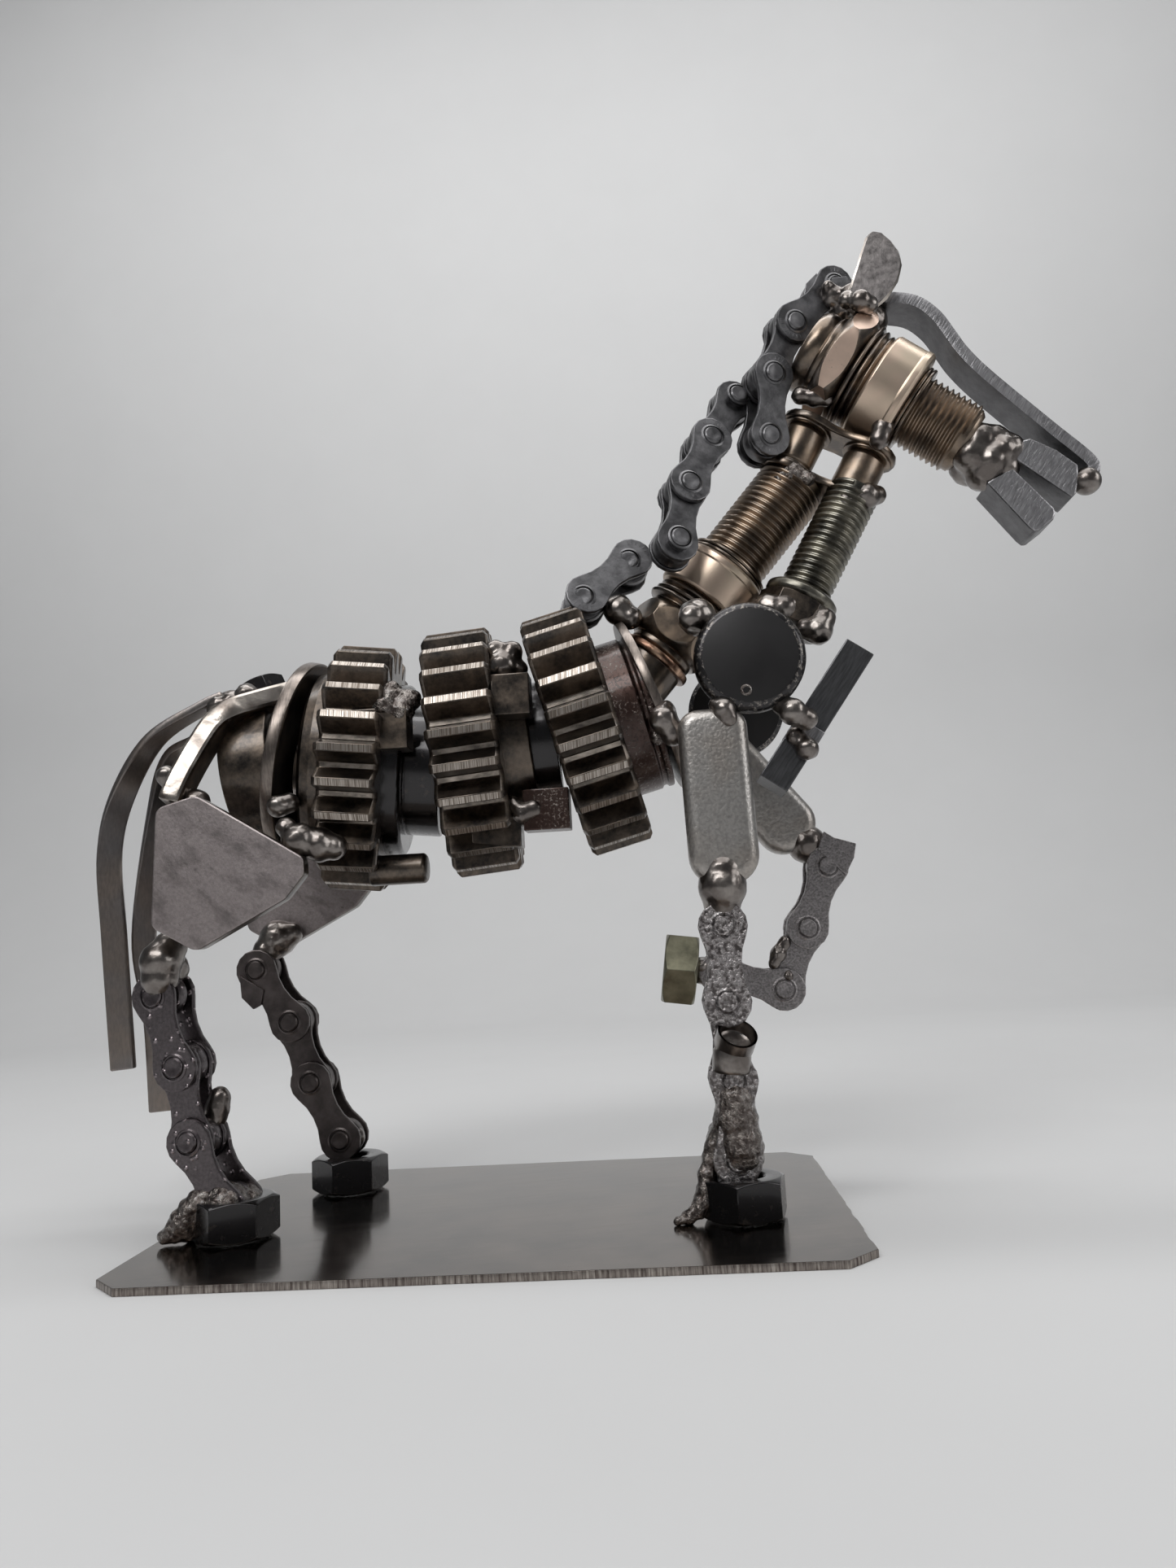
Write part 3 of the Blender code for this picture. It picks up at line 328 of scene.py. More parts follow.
def two_tone(name, coats, mask, colour, roughness, relief, pits=None, softness=0.6):
    """A metal of two colours in patches. Takes the weight and roughness of its coat; the patches' grain,
    detail and two levels; their two colours; the roughness and what the patches add to it; and the depth
    and strength of relief, which is that of pits of a given grain or else of the patches."""
    metal = Metal(name, *coats)
    grain, detail, low, high = mask
    patches = metal.cloud(grain, detail, roughness=softness).between(low, high)
    bumps = metal.cloud(pits, 3) if pits else patches
    return metal.finish(metal.blend(patches, *colour), roughness[0] + roughness[1] * patches,
                        metal.relief(bumps, *relief))


def sheet_metal(colours):
    """Dark glossy sheet of the base plate, faintly clouded, with a few wiping marks."""
    metal = Metal("gunmetal sheet", coat=0.45, coat_roughness=0.1)
    clouds = metal.cloud(14, 5).between(0.35, 0.7)
    wiping = metal.cloud(1.2, 3, metal.turned((0, 0, 12), (0.06, 1, 1))).between(0.45, 0.75)
    warm = toned(colours.black, colours.bronze, 0.2)
    colour = metal.blend(clouds, shade(warm, 1.0), shade(warm, 2.2))
    return metal.finish(colour, 0.13 + 0.08 * clouds + 0.05 * wiping, metal.relief(wiping, 0.006, 0.4))


def sheared_edge(colours):
    """The plate's cut edge: bright upright streaks with brown between."""
    metal = Metal("sheared edge", coat=0.2)
    streaks = metal.cloud(0.5, 4, metal.turned(stretch=(1, 1, 0.08))).between(0.35, 0.68)
    patches = metal.cloud(7, 3).between(0.35, 0.65)
    dull = toned(colours.dark, colours.rust, 0.4)
    colour = metal.blend(streaks * (0.6 + 0.4 * patches), dull, colours.ground)
    return metal.finish(colour, 0.45 - 0.1 * streaks, metal.relief(streaks, 0.06))


def black_metal(colours):
    """Blackened steel of the hoof nuts, with scuffs and a lacquer that has run."""
    metal = Metal("blackened nut", coat=0.5, coat_roughness=0.1)
    scuffs = metal.cloud(1.8, 6).between(0.60, 0.80)
    runs = metal.cloud(5, 2)
    colour = metal.blend(scuffs, colours.black, toned(colours.dark, colours.bronze, 0.15))
    return metal.finish(colour, 0.27 + 0.15 * scuffs,
                        metal.relief(runs, 0.08, 0.3, metal.relief(scuffs, 0.01, 0.5)))


def zinc_metal(colours):
    """Yellowed zinc plate, darker in cloudy patches."""
    return two_tone("yellowed zinc", (0.25, 0.2), (4, 5, 0.35, 0.7),
                    (shade(colours.zinc, 0.5), shade(colours.zinc, 1.1)), (0.36, 0.15), (0.02, 0.5), pits=0.5)


def spattered_chain(colours):
    """Near foreleg: a rough skin of spatter, black in its pits and painted bright on its high spots as
    glints.
    """
    low = toned(shade(colours.chain, 0.9), colours.rust, 0.2)
    # The bright colour on the high spots is a painted glint
    return two_tone("spattered chain", (0.5, 0.12), (0.7, 3, 0.40, 0.66), (low, shade(colours.chain, 3.4)),
                    (0.36, -0.1), (0.16, 0.8), softness=0.55)


def beaded_chain(colours):
    """Near hind leg: smooth dark plates, faintly purple, dotted with small beads of spatter, painted bright
    as glints.
    """
    metal = Metal("beaded chain", coat=0.45, coat_roughness=0.14)
    beads = metal.pebbles(1.7).between(0.30, 0.10)
    fine = metal.cloud(0.5, 3)
    purple = toned(colours.chain, colours.purple, 0.6)
    colour = metal.blend(fine.between(0.3, 0.7), shade(purple, 0.62), shade(purple, 1.05))
    # The bright colour on the beads is a painted glint
    colour = metal.blend(beads * 0.7, colour, shade(purple, 3.6))
    return metal.finish(colour, 0.36 - 0.1 * beads,
                        metal.relief(beads, 0.25, 0.9, metal.relief(fine, 0.04, 0.7)))


def dull_chain(colours):
    """Far hind leg: plain brown-grey plates."""
    brown = toned(colours.chain, colours.rust, 0.3)
    return two_tone("dull chain", (0.2, 0.25), (4, 4, 0.35, 0.68), (shade(brown, 0.6), shade(brown, 1.25)),
                    (0.4, 0), (0.03, 0.6), pits=0.45)


def frosted_chain(colours):
    """Raised foreleg: paler grey, finely frosted all over."""
    pale = toned(colours.chain, colours.frost, 0.6)
    return two_tone("frosted chain", (0.3, 0.2), (0.4, 3, 0.35, 0.66), (shade(pale, 0.62), shade(pale, 1.2)),
                    (0.42, -0.08), (0.06, 0.7), softness=0.5)


def worn_chain(colours):
    """Chain of the mane: dark grey satin, rubbed a little lighter in patches."""
    metal = Metal("worn chain", coat=0.25, coat_roughness=0.25)
    patches = metal.cloud(3, 5).between(0.38, 0.68)
    fine = metal.cloud(0.35, 3)
    cool = toned(colours.chain, colours.mane, 0.5)
    colour = metal.blend(patches * 0.7 + fine * 0.25, shade(cool, 0.7), shade(cool, 1.7))
    return metal.finish(colour, 0.34 + 0.14 * patches,
                        metal.relief(fine, 0.03, 0.6, metal.relief(patches, 0.06, 0.4)))


def brushed_plate(colours):
    """Thigh plates: pale ground steel, faintly rose, with dark mottling drawn out on the slant."""
    metal = Metal("ground plate", coat=0.15, coat_roughness=0.3)
    drawn = metal.turned((0, 40, 0), (0.5, 1, 1))
    grain = metal.cloud(0.45, 4, roughness=0.6)
    mottled = metal.cloud(3.2, 5, drawn).between(0.50, 0.74)
    specks = metal.cloud(1.1, 4, drawn).between(0.62, 0.78)
    rose = toned(colours.satin, colours.plate, 0.6)
    colour = metal.blend(grain.between(0.3, 0.7), shade(rose, 0.95), shade(rose, 1.3))
    colour = metal.blend(mottled * 0.8, colour, shade(rose, 0.45))
    colour = metal.blend(specks * 0.7, colour, shade(rose, 0.3))
    return metal.finish(colour, 0.43 + 0.06 * grain, metal.relief(grain, 0.06, 0.8))


def gear_metal(colours):
    """Flanks and faces of the gears: dark, oily, with a bronze heat tint."""
    metal = Metal("gear steel", coat=0.4, coat_roughness=0.16)
    patches = metal.cloud(5, 5).between(0.38, 0.68)
    mottle = metal.cloud(0.8, 4).between(0.35, 0.7)
    brown = toned(colours.dark, colours.bronze, 0.45)
    colour = metal.blend(patches * 0.6 + mottle * 0.3, shade(colours.dark, 0.55), shade(brown, 1.25))
    return metal.finish(colour, 0.3 + 0.14 * patches, metal.relief(mottle, 0.02, 0.5))


def ground_tip(colours):
    """Tooth tips: fine lines across the tooth, with darker worn patches."""
    metal = Metal("ground tooth tip", coat=0.15)
    lines = metal.cloud(0.2, 1, metal.turned(stretch=(1, 0.02, 0.02))).between(0.36, 0.64)
    patches = metal.cloud(5, 4).between(0.36, 0.62)
    colour = metal.blend(lines * (0.5 + 0.3 * patches), toned(colours.dark, colours.bronze, 0.3),
                         shade(colours.ground, 1.1))
    return metal.finish(colour, 0.40 - 0.08 * lines, metal.relief(lines, 0.03, 0.7))


def root_with_highlight(colours):
    """The flats between teeth: bright in patches along the gear, a painted highlight."""
    metal = Metal("rubbed root", coat=0.15)
    patches = metal.cloud(2.2, 4, metal.turned(stretch=(0.6, 1, 1))).between(0.38, 0.68)
    warm = toned(colours.ground, colours.bronze, 0.4)
    # The bright patches on the root flats are a painted highlight
    colour = metal.blend(patches, shade(warm, 0.32), shade(warm, 1.05))
    return metal.finish(colour, 0.34, metal.relief(patches, 0.015, 0.5))


def cast_metal(colours):
    """Shoulder bars: a fine pebbled casting skin, tan in its middle, with a few dark stains."""
    metal = Metal("casting skin", coat=0.25, coat_roughness=0.2)
    grain = metal.cloud(0.55, 2, roughness=0.4)
    broad_patches = metal.cloud(11, 2).between(0.42, 0.62)
    stains = metal.cloud(2.6, 5).between(0.64, 0.80)
    colour = metal.blend(broad_patches, colours.cast, toned(colours.cast, colours.bronze, 0.3))
    colour = metal.blend(grain.between(0.62, 0.36) * 0.35, colour, shade(colours.cast, 0.4))
    colour = metal.blend(stains * 0.7, colour, shade(colours.cast, 0.35))
    return metal.finish(colour, 0.40 + 0.1 * stains, metal.relief(grain, 0.12, 0.6))


def disc_face(colours):
    """Near-black face of the discs, with scattered light specks."""
    metal = Metal("black disc face", coat=0.1, coat_roughness=0.3, metallic=0.5)
    specks = metal.cloud(0.8, 4).between(0.74, 0.80)
    clouds = metal.cloud(8, 3)
    colour = metal.blend(clouds, shade(colours.black, 0.35), shade(colours.black, 0.8))
    colour = metal.blend(specks * 0.7, colour, shade(colours.ground, 0.6))
    return metal.finish(colour, 0.42 + 0.1 * clouds, metal.relief(specks, 0.03, 0.6))


def disc_rim(colours):
    """Domed rim of the discs, worn bright in flecks."""
    return two_tone("worn disc rim", (0.35, 0.15), (0.7, 5, 0.52, 0.70),
                    (shade(colours.black, 1.2), shade(colours.ground, 0.55)), (0.32, 0), (0.05, 0.7))


def bar_metal(colours):
    """The square bar across the chest, slate dark and faintly drawn along its length."""
    metal = Metal("slate bar", coat=0.2, coat_roughness=0.25)
    drawn = metal.cloud(0.4, 3, metal.turned((0, -54, 0), (0.12, 1, 1)))
    slate = toned(colours.dark, colours.slate, 0.7)
    colour = metal.blend(drawn.between(0.3, 0.7), shade(slate, 1.2), shade(slate, 2.2))
    return metal.finish(colour, 0.42, metal.relief(drawn, 0.02, 0.6))


def filed_metal(colours):
    """Cut faces of the jaws and the brow strap: blue-grey, with close-set marks across."""
    metal = Metal("sawn face", coat=0.2, coat_roughness=0.2)
    marks = metal.cloud(0.34, 3, metal.turned((0, 35, 0), (1, 1, 0.12))).between(0.3, 0.7)
    clouds = metal.cloud(5, 3)
    cool = toned(colours.satin, colours.sawn, 0.6)
    colour = metal.blend(marks * 0.7 + clouds * 0.3, shade(cool, 0.7), shade(cool, 1.9))
    return metal.finish(colour, 0.38, metal.relief(marks, 0.05, 0.7))


def bronzed(colours):
    """Threads and rollers: bronze heat tint, darker in the valleys."""
    dark = toned(colours.bronze, colours.dark, 0.7)
    return two_tone("bronzed steel", (0.35, 0.16), (5, 4, 0.34, 0.66), (dark, shade(colours.bronze, 1.05)),
                    (0.3, 0.12), (0.025, 0.5), pits=0.5)


def champagne_satin(colours):
    """Plug collars: smooth champagne satin, turned, with a rose blush and painted shade at one side."""
    metal = Metal("champagne satin", coat=0.15, coat_roughness=0.3)
    blush = metal.cloud(9, 2).between(0.42, 0.62)
    painted_side_shade = metal.cloud(14, 2).between(0.48, 0.66)
    fine = metal.cloud(0.35, 2)
    colour = metal.blend(blush, colours.champagne, toned(colours.champagne, colours.rose, 0.6))
    # A broad dark cloud over one side of the collar is painted shade
    colour = metal.blend(painted_side_shade * 0.5, colour, toned(colours.dark, colours.bronze, 0.5))
    return metal.finish(colour, 0.33 + 0.06 * fine, metal.relief(fine, 0.01, 0.6))


def rose_flat(colours):
    """Hexagon flats: rose satin, speckled with dark points."""
    metal = Metal("rose satin", coat=0.15, coat_roughness=0.3)
    specks = metal.cloud(0.7, 5).between(0.62, 0.76)
    drift = metal.cloud(4, 3)
    colour = metal.blend(drift, shade(colours.rose, 0.85), shade(colours.rose, 1.2))
    colour = metal.blend(specks * 0.6, colour, shade(colours.rose, 0.35))
    return metal.finish(colour, 0.4, metal.relief(drift, 0.02, 0.5))


def smoked_ring(colours):
    """Grooved rings and tail of a plug: dark bronze, rubbed brighter in patches."""
    dark, light = (toned(colours.dark, colours.bronze, share) for share in (0.15, 0.75))
    return two_tone("smoked rings", (0.35, 0.14), (3.5, 4, 0.40, 0.68), (dark, light), (0.28, 0), (0.02, 0.5),
                    pits=0.6)


def copper_ring(colours):
    """A copper gasket, dark but for a worn patch."""
    return two_tone("copper ring", (0.2, 0.12), (4, 3, 0.48, 0.68), (colours.copper_dark, colours.copper),
                    (0.3, 0), (0.02, 0.5))


def rusty_hub(colours):
    """The front gear's hub: brown, heavily spattered, glittering where the spatter is fresh."""
    metal = Metal("rusty hub", coat=0.4, coat_roughness=0.14)
    spatter = metal.cloud(0.5, 4).between(0.54, 0.72)
    patches = metal.cloud(5, 3).between(0.42, 0.68)
    base = metal.blend(patches, shade(colours.rust, 0.55), toned(colours.rust, colours.dark, 0.4))
    colour = metal.blend(spatter * patches, base, colours.ground)
    return metal.finish(colour, 0.38 - 0.1 * spatter, metal.relief(spatter, 0.1, 0.8))


def weld_metal(colours):
    """Weld: smooth glossy lumps, silver on their crowns and brown between."""
    metal = Metal("weld metal", coat=0.5, coat_roughness=0.08)
    pools = metal.cloud(3.5, 3).between(0.40, 0.66)
    specks = metal.cloud(0.9, 3).between(0.66, 0.76)
    base = metal.blend(pools, toned(shade(colours.weld, 0.55), colours.rust, 0.2), colours.weld)
    colour = metal.blend(specks * 0.3, base, shade(colours.ground, 0.8))
    return metal.finish(colour, 0.3, metal.relief(specks, 0.03, 0.5, metal.relief(pools, 0.1, 0.3)))


def crusted_weld(colours):
    """Weld that has spat: rough, dark and glittering."""
    dark = toned(shade(colours.weld, 0.3), colours.rust, 0.3)
    return two_tone("crusted weld", (0.5, 0.1), (0.9, 4, 0.42, 0.7), (dark, shade(colours.weld, 1.2)),
                    (0.32, -0.08), (0.2, 0.8))


def hammered_metal(colours):
    """Tail strips: drawn and lacquered, silver in the light and bronze in the shade."""
    metal = Metal("hammered strip", coat=0.3, coat_roughness=0.16)
    blows = metal.cloud(3.5, 2)
    fine = metal.cloud(0.4, 3, metal.turned(stretch=(1, 1, 0.3)))
    # Broad patches paint light and shade here: silver stands for the strip's lit parts, bronze for its shaded
    # parts
    broad_patches = metal.cloud(12, 2).between(0.4, 0.65)
    colour = metal.blend(broad_patches, shade(colours.satin, 0.9), toned(colours.satin, colours.bronze, 0.45))
    colour = metal.blend(fine.between(0.7, 0.35) * 0.3, colour, shade(colours.satin, 0.4))
    return metal.finish(colour, 0.3 + 0.1 * fine,
                        metal.relief(fine, 0.02, 0.5, metal.relief(blows, 0.15, 0.4)))


def strap_polish_and_highlight(colours):
    """Rump straps: bright in broad patches as a painted highlight, with a wavy hammered face."""
    metal = Metal("polished strap", coat=0.5, coat_roughness=0.1)
    waves = metal.cloud(1.6, 3)
    # Broad patches of bright ground steel are a painted highlight
    shine = metal.cloud(7, 2).between(0.40, 0.60)
    colour = metal.blend(shine, toned(shade(colours.satin, 0.6), colours.bronze, 0.3),
                         shade(colours.ground, 1.1))
    return metal.finish(colour, 0.27, metal.relief(waves, 0.12, 0.5))


def ring_metal(colours):
    """Thin rings: dark turned faces."""
    warm = toned(colours.dark, colours.bronze, 0.3)
    return two_tone("turned ring", (0.3, 0.12), (5, 4, 0.35, 0.65), (shade(colours.dark, 0.6), warm),
                    (0.34, 0.1), (0.02, 0.5), pits=0.5)


def turned_edge(colours):
    """Rims of the rings: bronze, with fine turned lines."""
    metal = Metal("turned rim", coat=0.2)
    patches = metal.cloud(3, 4).between(0.35, 0.65)
    lines = metal.cloud(0.3, 2, metal.turned(stretch=(1, 0.1, 0.1))).between(0.35, 0.65)
    grey = toned(colours.bronze, colours.satin, 0.6)
    colour = metal.blend(patches * 0.6 + lines * 0.4, shade(grey, 0.4), shade(grey, 1.1))
    return metal.finish(colour, 0.34, metal.relief(lines, 0.02, 0.5))


def ear_metal(colours):
    """Ears: dark grey, mottled, beside a brighter rim that is a painted highlight."""
    return two_tone("ear shell", (0.3, 0.2), (1.4, 5, 0.3, 0.7),
                    (shade(colours.satin, 0.25), shade(colours.satin, 0.7)), (0.34, 0.1), (0.05, 0.5))


def bolt_metal(colours):
    """The neck bolt: plain steel, a little green in the valleys."""
    return two_tone("bolt steel", (0.3, 0.16), (4, 4, 0.35, 0.66),
                    (colours.bolt_dark, colours.bolt), (0.3, 0.1), (0.03, 0.5), pits=0.5)


METALS = {
    "sheet": sheet_metal, "sheared": sheared_edge, "black": black_metal, "zinc": zinc_metal,
    "spattered": spattered_chain, "beaded": beaded_chain, "dull": dull_chain, "frosted": frosted_chain,
    "worn": worn_chain, "ground": brushed_plate, "gear": gear_metal, "tip": ground_tip, "root": root_with_highlight,
    "cast": cast_metal, "disc": disc_face, "rim": disc_rim, "bar": bar_metal, "sawn": filed_metal,
    "bronzed": bronzed, "champagne": champagne_satin, "rose": rose_flat, "smoked": smoked_ring,
    "copper": copper_ring, "rusty": rusty_hub, "weld": weld_metal, "crust": crusted_weld,
    "hammered": hammered_metal, "polished": strap_polish_and_highlight, "ring": ring_metal, "turned": turned_edge,
    "ear": ear_metal, "bolt": bolt_metal,
}
made_metals = {}


def metal(name):
    if name not in made_metals:
        made_metals[name] = METALS[name](bpy.context.scene.horse_colours)
    return made_metals[name]


# Shapes

def pose(at, z, x=X):
    """A place at a point, with its own Z along z and its X as near x as it can be."""
    z = Vector(z).normalized()
    x = (x - x.project(z)).normalized()
    return Matrix.Translation(at) @ Matrix((x, z.cross(x), z)).transposed().to_4x4()


def raised(place, height):
    """A place moved along its own Z."""
    return place @ Matrix.Translation(Z * height)


def as_object(bm, name):
    """Puts a shape into the scene as an object, and frees it."""
    mesh = bpy.data.meshes.new(name)
    bm.to_mesh(mesh)
    bm.free()
    made = bpy.data.objects.new(name, mesh)
    bpy.context.scene.collection.objects.link(made)
    return made


def with_modifiers(source, *helpers):
    """The shape that its modifiers make of an object, which is then removed with its helpers."""
    graph = bpy.context.evaluated_depsgraph_get()
    graph.update()
    result = bpy.data.meshes.new_from_object(source.evaluated_get(graph))
    bm = bmesh.new()
    bm.from_mesh(result)
    for item in (source, *helpers):
        mesh = item.data
        bpy.data.objects.remove(item)
        bpy.data.meshes.remove(mesh)
    bpy.data.meshes.remove(result)
    return bm


def soften(bm, width, segments=2, angle=38):
    """Rounds the edges that are sharper than an angle."""
    sharp = [edge for edge in bm.edges if edge.is_manifold and edge.calc_face_angle(0) > radians(angle)]
    bmesh.ops.bevel(bm, geom=sharp, offset=width, offset_type="OFFSET", segments=segments, profile=0.5,
                    affect="EDGES", clamp_overlap=True, material=-1)
    return bm


def move_corners(bm, made, way):
    """Moves the corners among what a bmesh operator made."""
    bmesh.ops.translate(bm, vec=way, verts=[item for item in made if isinstance(item, bmesh.types.BMVert)])


def slab(outline, thickness, edge=0.15, segments=2):
    """A flat outline of (x, y) pairs, thickened both ways, with rounded edges."""
    bm = bmesh.new()
    face = bm.faces.new([bm.verts.new((x, y, -thickness / 2)) for x, y in outline])
    lifted = bmesh.ops.extrude_face_region(bm, geom=[face])["geom"]
    move_corners(bm, lifted, Z * thickness)
    bmesh.ops.recalc_face_normals(bm, faces=bm.faces)
    return soften(bm, edge, segments) if edge else bm


def turned(profile, sides=56, edge=0.0, closed=False):
    """Spins (radius, height) pairs about Z: a solid, from the top of the axis down, or a closed ring."""
    bm = bmesh.new()
    verts = [bm.verts.new((radius, 0, height)) for radius, height in profile]
    pairs = [*pairwise(verts), (verts[-1], verts[0])] if closed else pairwise(verts)
    edges = [bm.edges.new(pair) for pair in pairs]
    bmesh.ops.spin(bm, geom=verts + edges, cent=(0, 0, 0), axis=Z, angle=2 * pi, steps=sides, use_merge=True)
    bmesh.ops.remove_doubles(bm, verts=bm.verts, dist=0.0001)
    bmesh.ops.recalc_face_normals(bm, faces=bm.faces)
    return soften(bm, edge) if edge else bm


def rod(radius, high, low, sides, edge=0.0):
    """A cylinder about Z between two heights."""
    return turned([(0, high), (radius, high), (radius, low), (0, low)], sides, edge)


def sleeve(outer, inner, high, low, edge=0.2, sides=64):
    """A plain ring about Z between two heights."""
    return turned([(outer, high), (outer, low), (inner, low), (inner, high)], sides, edge, closed=True)


def tube(outer, inner, thickness, edge=0.2, sides=56):
    """A plain ring about Z, as far above the origin as below it."""
    return sleeve(outer, inner, thickness / 2, -thickness / 2, edge, sides)


def thread(radius, length, pitch, depth=0.62, sides=36):
    """A threaded rod from the origin up: a core, and a ridge wound round it."""
    core = radius - depth
    bm = rod(core, length, 0, sides)
    foot, crest = pitch * 0.47, pitch * 0.08
    ring = [(core - 0.08, -foot), (radius, -crest), (radius, crest), (core - 0.08, foot)]
    verts = [bm.verts.new((x, 0, z + pitch / 2)) for x, z in ring]
    edges = [bm.edges.new(pair) for pair in [*pairwise(verts), (verts[-1], verts[0])]]
    turns = length / pitch - 1
    steps = round(turns * sides)
    bmesh.ops.spin(bm, geom=verts + edges, cent=(0, 0, 0), axis=Z, dvec=Z * pitch / sides,
                   angle=2 * pi * steps / sides, steps=steps)
    bmesh.ops.holes_fill(bm, edges=[edge for edge in bm.edges if edge.is_boundary])
    bmesh.ops.recalc_face_normals(bm, faces=bm.faces)
    return bm


def arc(centre, radius, start, end, steps):
    """Points of an arc; angles in degrees."""
    turns = [radians(start + (end - start) * step / steps) for step in range(steps + 1)]
    return [(centre[0] + radius * cos(turn), centre[1] + radius * sin(turn)) for turn in turns]


def side_plate(pitch, end_radius, waist, thickness, edge=0.2):
    """The figure of eight of a chain's side plate: two round ends joined by hollow flanks."""
    reach = pitch / 2
    hollow = (reach**2 + waist**2 - end_radius**2) / (2 * (end_radius - waist))
    meets = degrees(atan2(waist + hollow, -reach))
    flank = 180 - meets
    outline = []
    for side in (1, -1):
        end = arc((reach, 0), end_radius, -meets, meets, 10)
        hollow_side = arc((0, waist + hollow), hollow, -flank, flank - 180, 4)[1:-1]
        outline.extend((side * x, side * y) for x, y in end + hollow_side)
    return slab(outline, thickness, edge)


def hexagon(across):
    return [(across / sqrt(3) * cos(pi / 3 * n), across / sqrt(3) * sin(pi / 3 * n)) for n in range(6)]


def rounded(corners, radii, steps=6):
    """An outline with each corner replaced by an arc of its own radius."""
    outline = []
    for n, (corner, radius) in enumerate(zip(corners, radii)):
        at = Vector(corner)
        back = (Vector(corners[n - 1]) - at).normalized()
        ahead = (Vector(corners[(n + 1) % len(corners)]) - at).normalized()
        half = back.angle(ahead) / 2
        middle = at + (back + ahead).normalized() * radius / sin(half)
        first = (at + back * radius / tan(half) - middle).normalized()
        last = (at + ahead * radius / tan(half) - middle).normalized()
        outline.extend(tuple(middle + first.slerp(last, step / steps) * radius) for step in range(steps + 1))
    return outline


def smooth_line(points, steps=6):
    """A curve through points, as a longer row of points."""
    padded = [points[0] * 2 - points[1], *points, points[-1] * 2 - points[-2]]
    line = []
    for before, start, end, after in zip(padded, padded[1:], padded[2:], padded[3:]):
        for step in range(steps):
            t = step / steps
            bend, swing = before * 2 - start * 5 + end * 4 - after, start * 3 - before - end * 3 + after
            line.append(0.5 * (start * 2 + (end - before) * t + bend * t * t + swing * t * t * t))
    return [*line, points[-1]]


def skin(bm, rings):
    """Joins rings of corners into one closed skin."""
    loops = [[bm.edges.new((ring[n - 1], ring[n])) for n in range(len(ring))] for ring in rings]
    for loop, following in pairwise(loops):
        bmesh.ops.bridge_loops(bm, edges=loop + following)
    bmesh.ops.holes_fill(bm, edges=loops[0] + loops[-1])
    bmesh.ops.recalc_face_normals(bm, faces=bm.faces)


def strip(path, width, thickness, sides, edge=0.3):
    """A flat bar drawn along a path; its width lies along sides, one direction a point."""
    bm = bmesh.new()
    rings = []
    for n, point in enumerate(path):
        along = (path[min(n + 1, len(path) - 1)] - path[max(n - 1, 0)]).normalized()
        across = (sides[n] - sides[n].project(along)).normalized() * width / 2
        up = along.cross(across).normalized() * thickness / 2
        corners = (1, 1), (-1, 1), (-1, -1), (1, -1)
        rings.append([bm.verts.new(point + across * a + up * b) for a, b in corners])
    skin(bm, rings)
    return soften(bm, edge, 2, 50)


def lumps(blobs, rough):
    """Weld metal: balls of (place, radius) run together, then made uneven."""
    bm = bmesh.new()
    for at, radius in blobs:
        ball = bmesh.ops.create_icosphere(bm, subdivisions=3, radius=radius * WELD_SWELL)["verts"]
        bmesh.ops.translate(bm, vec=at, verts=ball)
    source = as_object(bm, "weld")
    remesh = source.modifiers.new("Run together", "REMESH")
    remesh.mode = "VOXEL"
    remesh.voxel_size = WELD_VOXEL
    smooth = source.modifiers.new("Flow", "SMOOTH")
    smooth.factor = 0.7
    smooth.iterations = 22
    bm = with_modifiers(source)
    for vert in bm.verts:
        vert.co += vert.normal * (rough * noise.noise(vert.co * 0.7) + rough / 4 * noise.noise(vert.co * 2.2))
    return bm


def carved(bm, cutter, operation="DIFFERENCE"):
    """Applies one Boolean of two closed shapes."""
    blank, tool = as_object(bm, "blank"), as_object(cutter, "tool")
    step = blank.modifiers.new("Boolean", "BOOLEAN")
    step.operation = operation
    step.solver = "EXACT"
    step.object = tool
    out = with_modifiers(blank, tool)
    bmesh.ops.remove_doubles(out, verts=out.verts, dist=0.001)
    return out


def outward(face):
    """The way from the Z axis to the middle of a face."""
    return Vector((*face.calc_center_median().to_2d(), 0))


class Scrap:
    """A piece of scrap in the making: closed shapes, each of one of the piece's metals."""

    def __init__(self, name, *metals):
        self.name = name
        self.metals = list(metals)
        self.bm = bmesh.new()

    def add(self, shape, where=Matrix.Identity(4), finish=None):
        """Joins a shape at its place; finish names its metal, or leaves the faces' own."""
        if finish is not None:
            for face in shape.faces:
                face.material_index = self.metals.index(finish)
        bmesh.ops.transform(shape, matrix=where, verts=shape.verts)
        mesh = bpy.data.meshes.new("shape")
        shape.to_mesh(mesh)
        shape.free()
        self.bm.from_mesh(mesh)
        bpy.data.meshes.remove(mesh)

    def done(self, slot, *nodes):
        """Makes the object, in metres, with its metals, its body and the solids that it stands for."""
        for face in self.bm.faces:
            face.smooth = True
        for edge in self.bm.edges:
            broad = any(face.calc_area() > FLAT_AREA for face in edge.link_faces)
            edge.smooth = edge.calc_face_angle(0) < radians(FLAT_ANGLE if broad else EDGE_ANGLE)
        bmesh.ops.scale(self.bm, vec=(MM, MM, MM), verts=self.bm.verts)
        piece = as_object(self.bm, self.name)
        for name in self.metals:
            piece.data.materials.append(metal(name))
        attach(piece, "root")
        if nodes:
            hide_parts(*nodes)


def single(name, metals, shape, where, slot, *nodes, first=lambda face: True):
    """Makes a piece of one shape, whose faces take the first metal or, where they fail a test, the second."""
    piece = Scrap(name, *metals)
    for face in shape.faces:
        face.material_index = 0 if first(face) else 1
    piece.add(shape, where)
    piece.done(slot, *nodes)


# Places, which are those of the solids

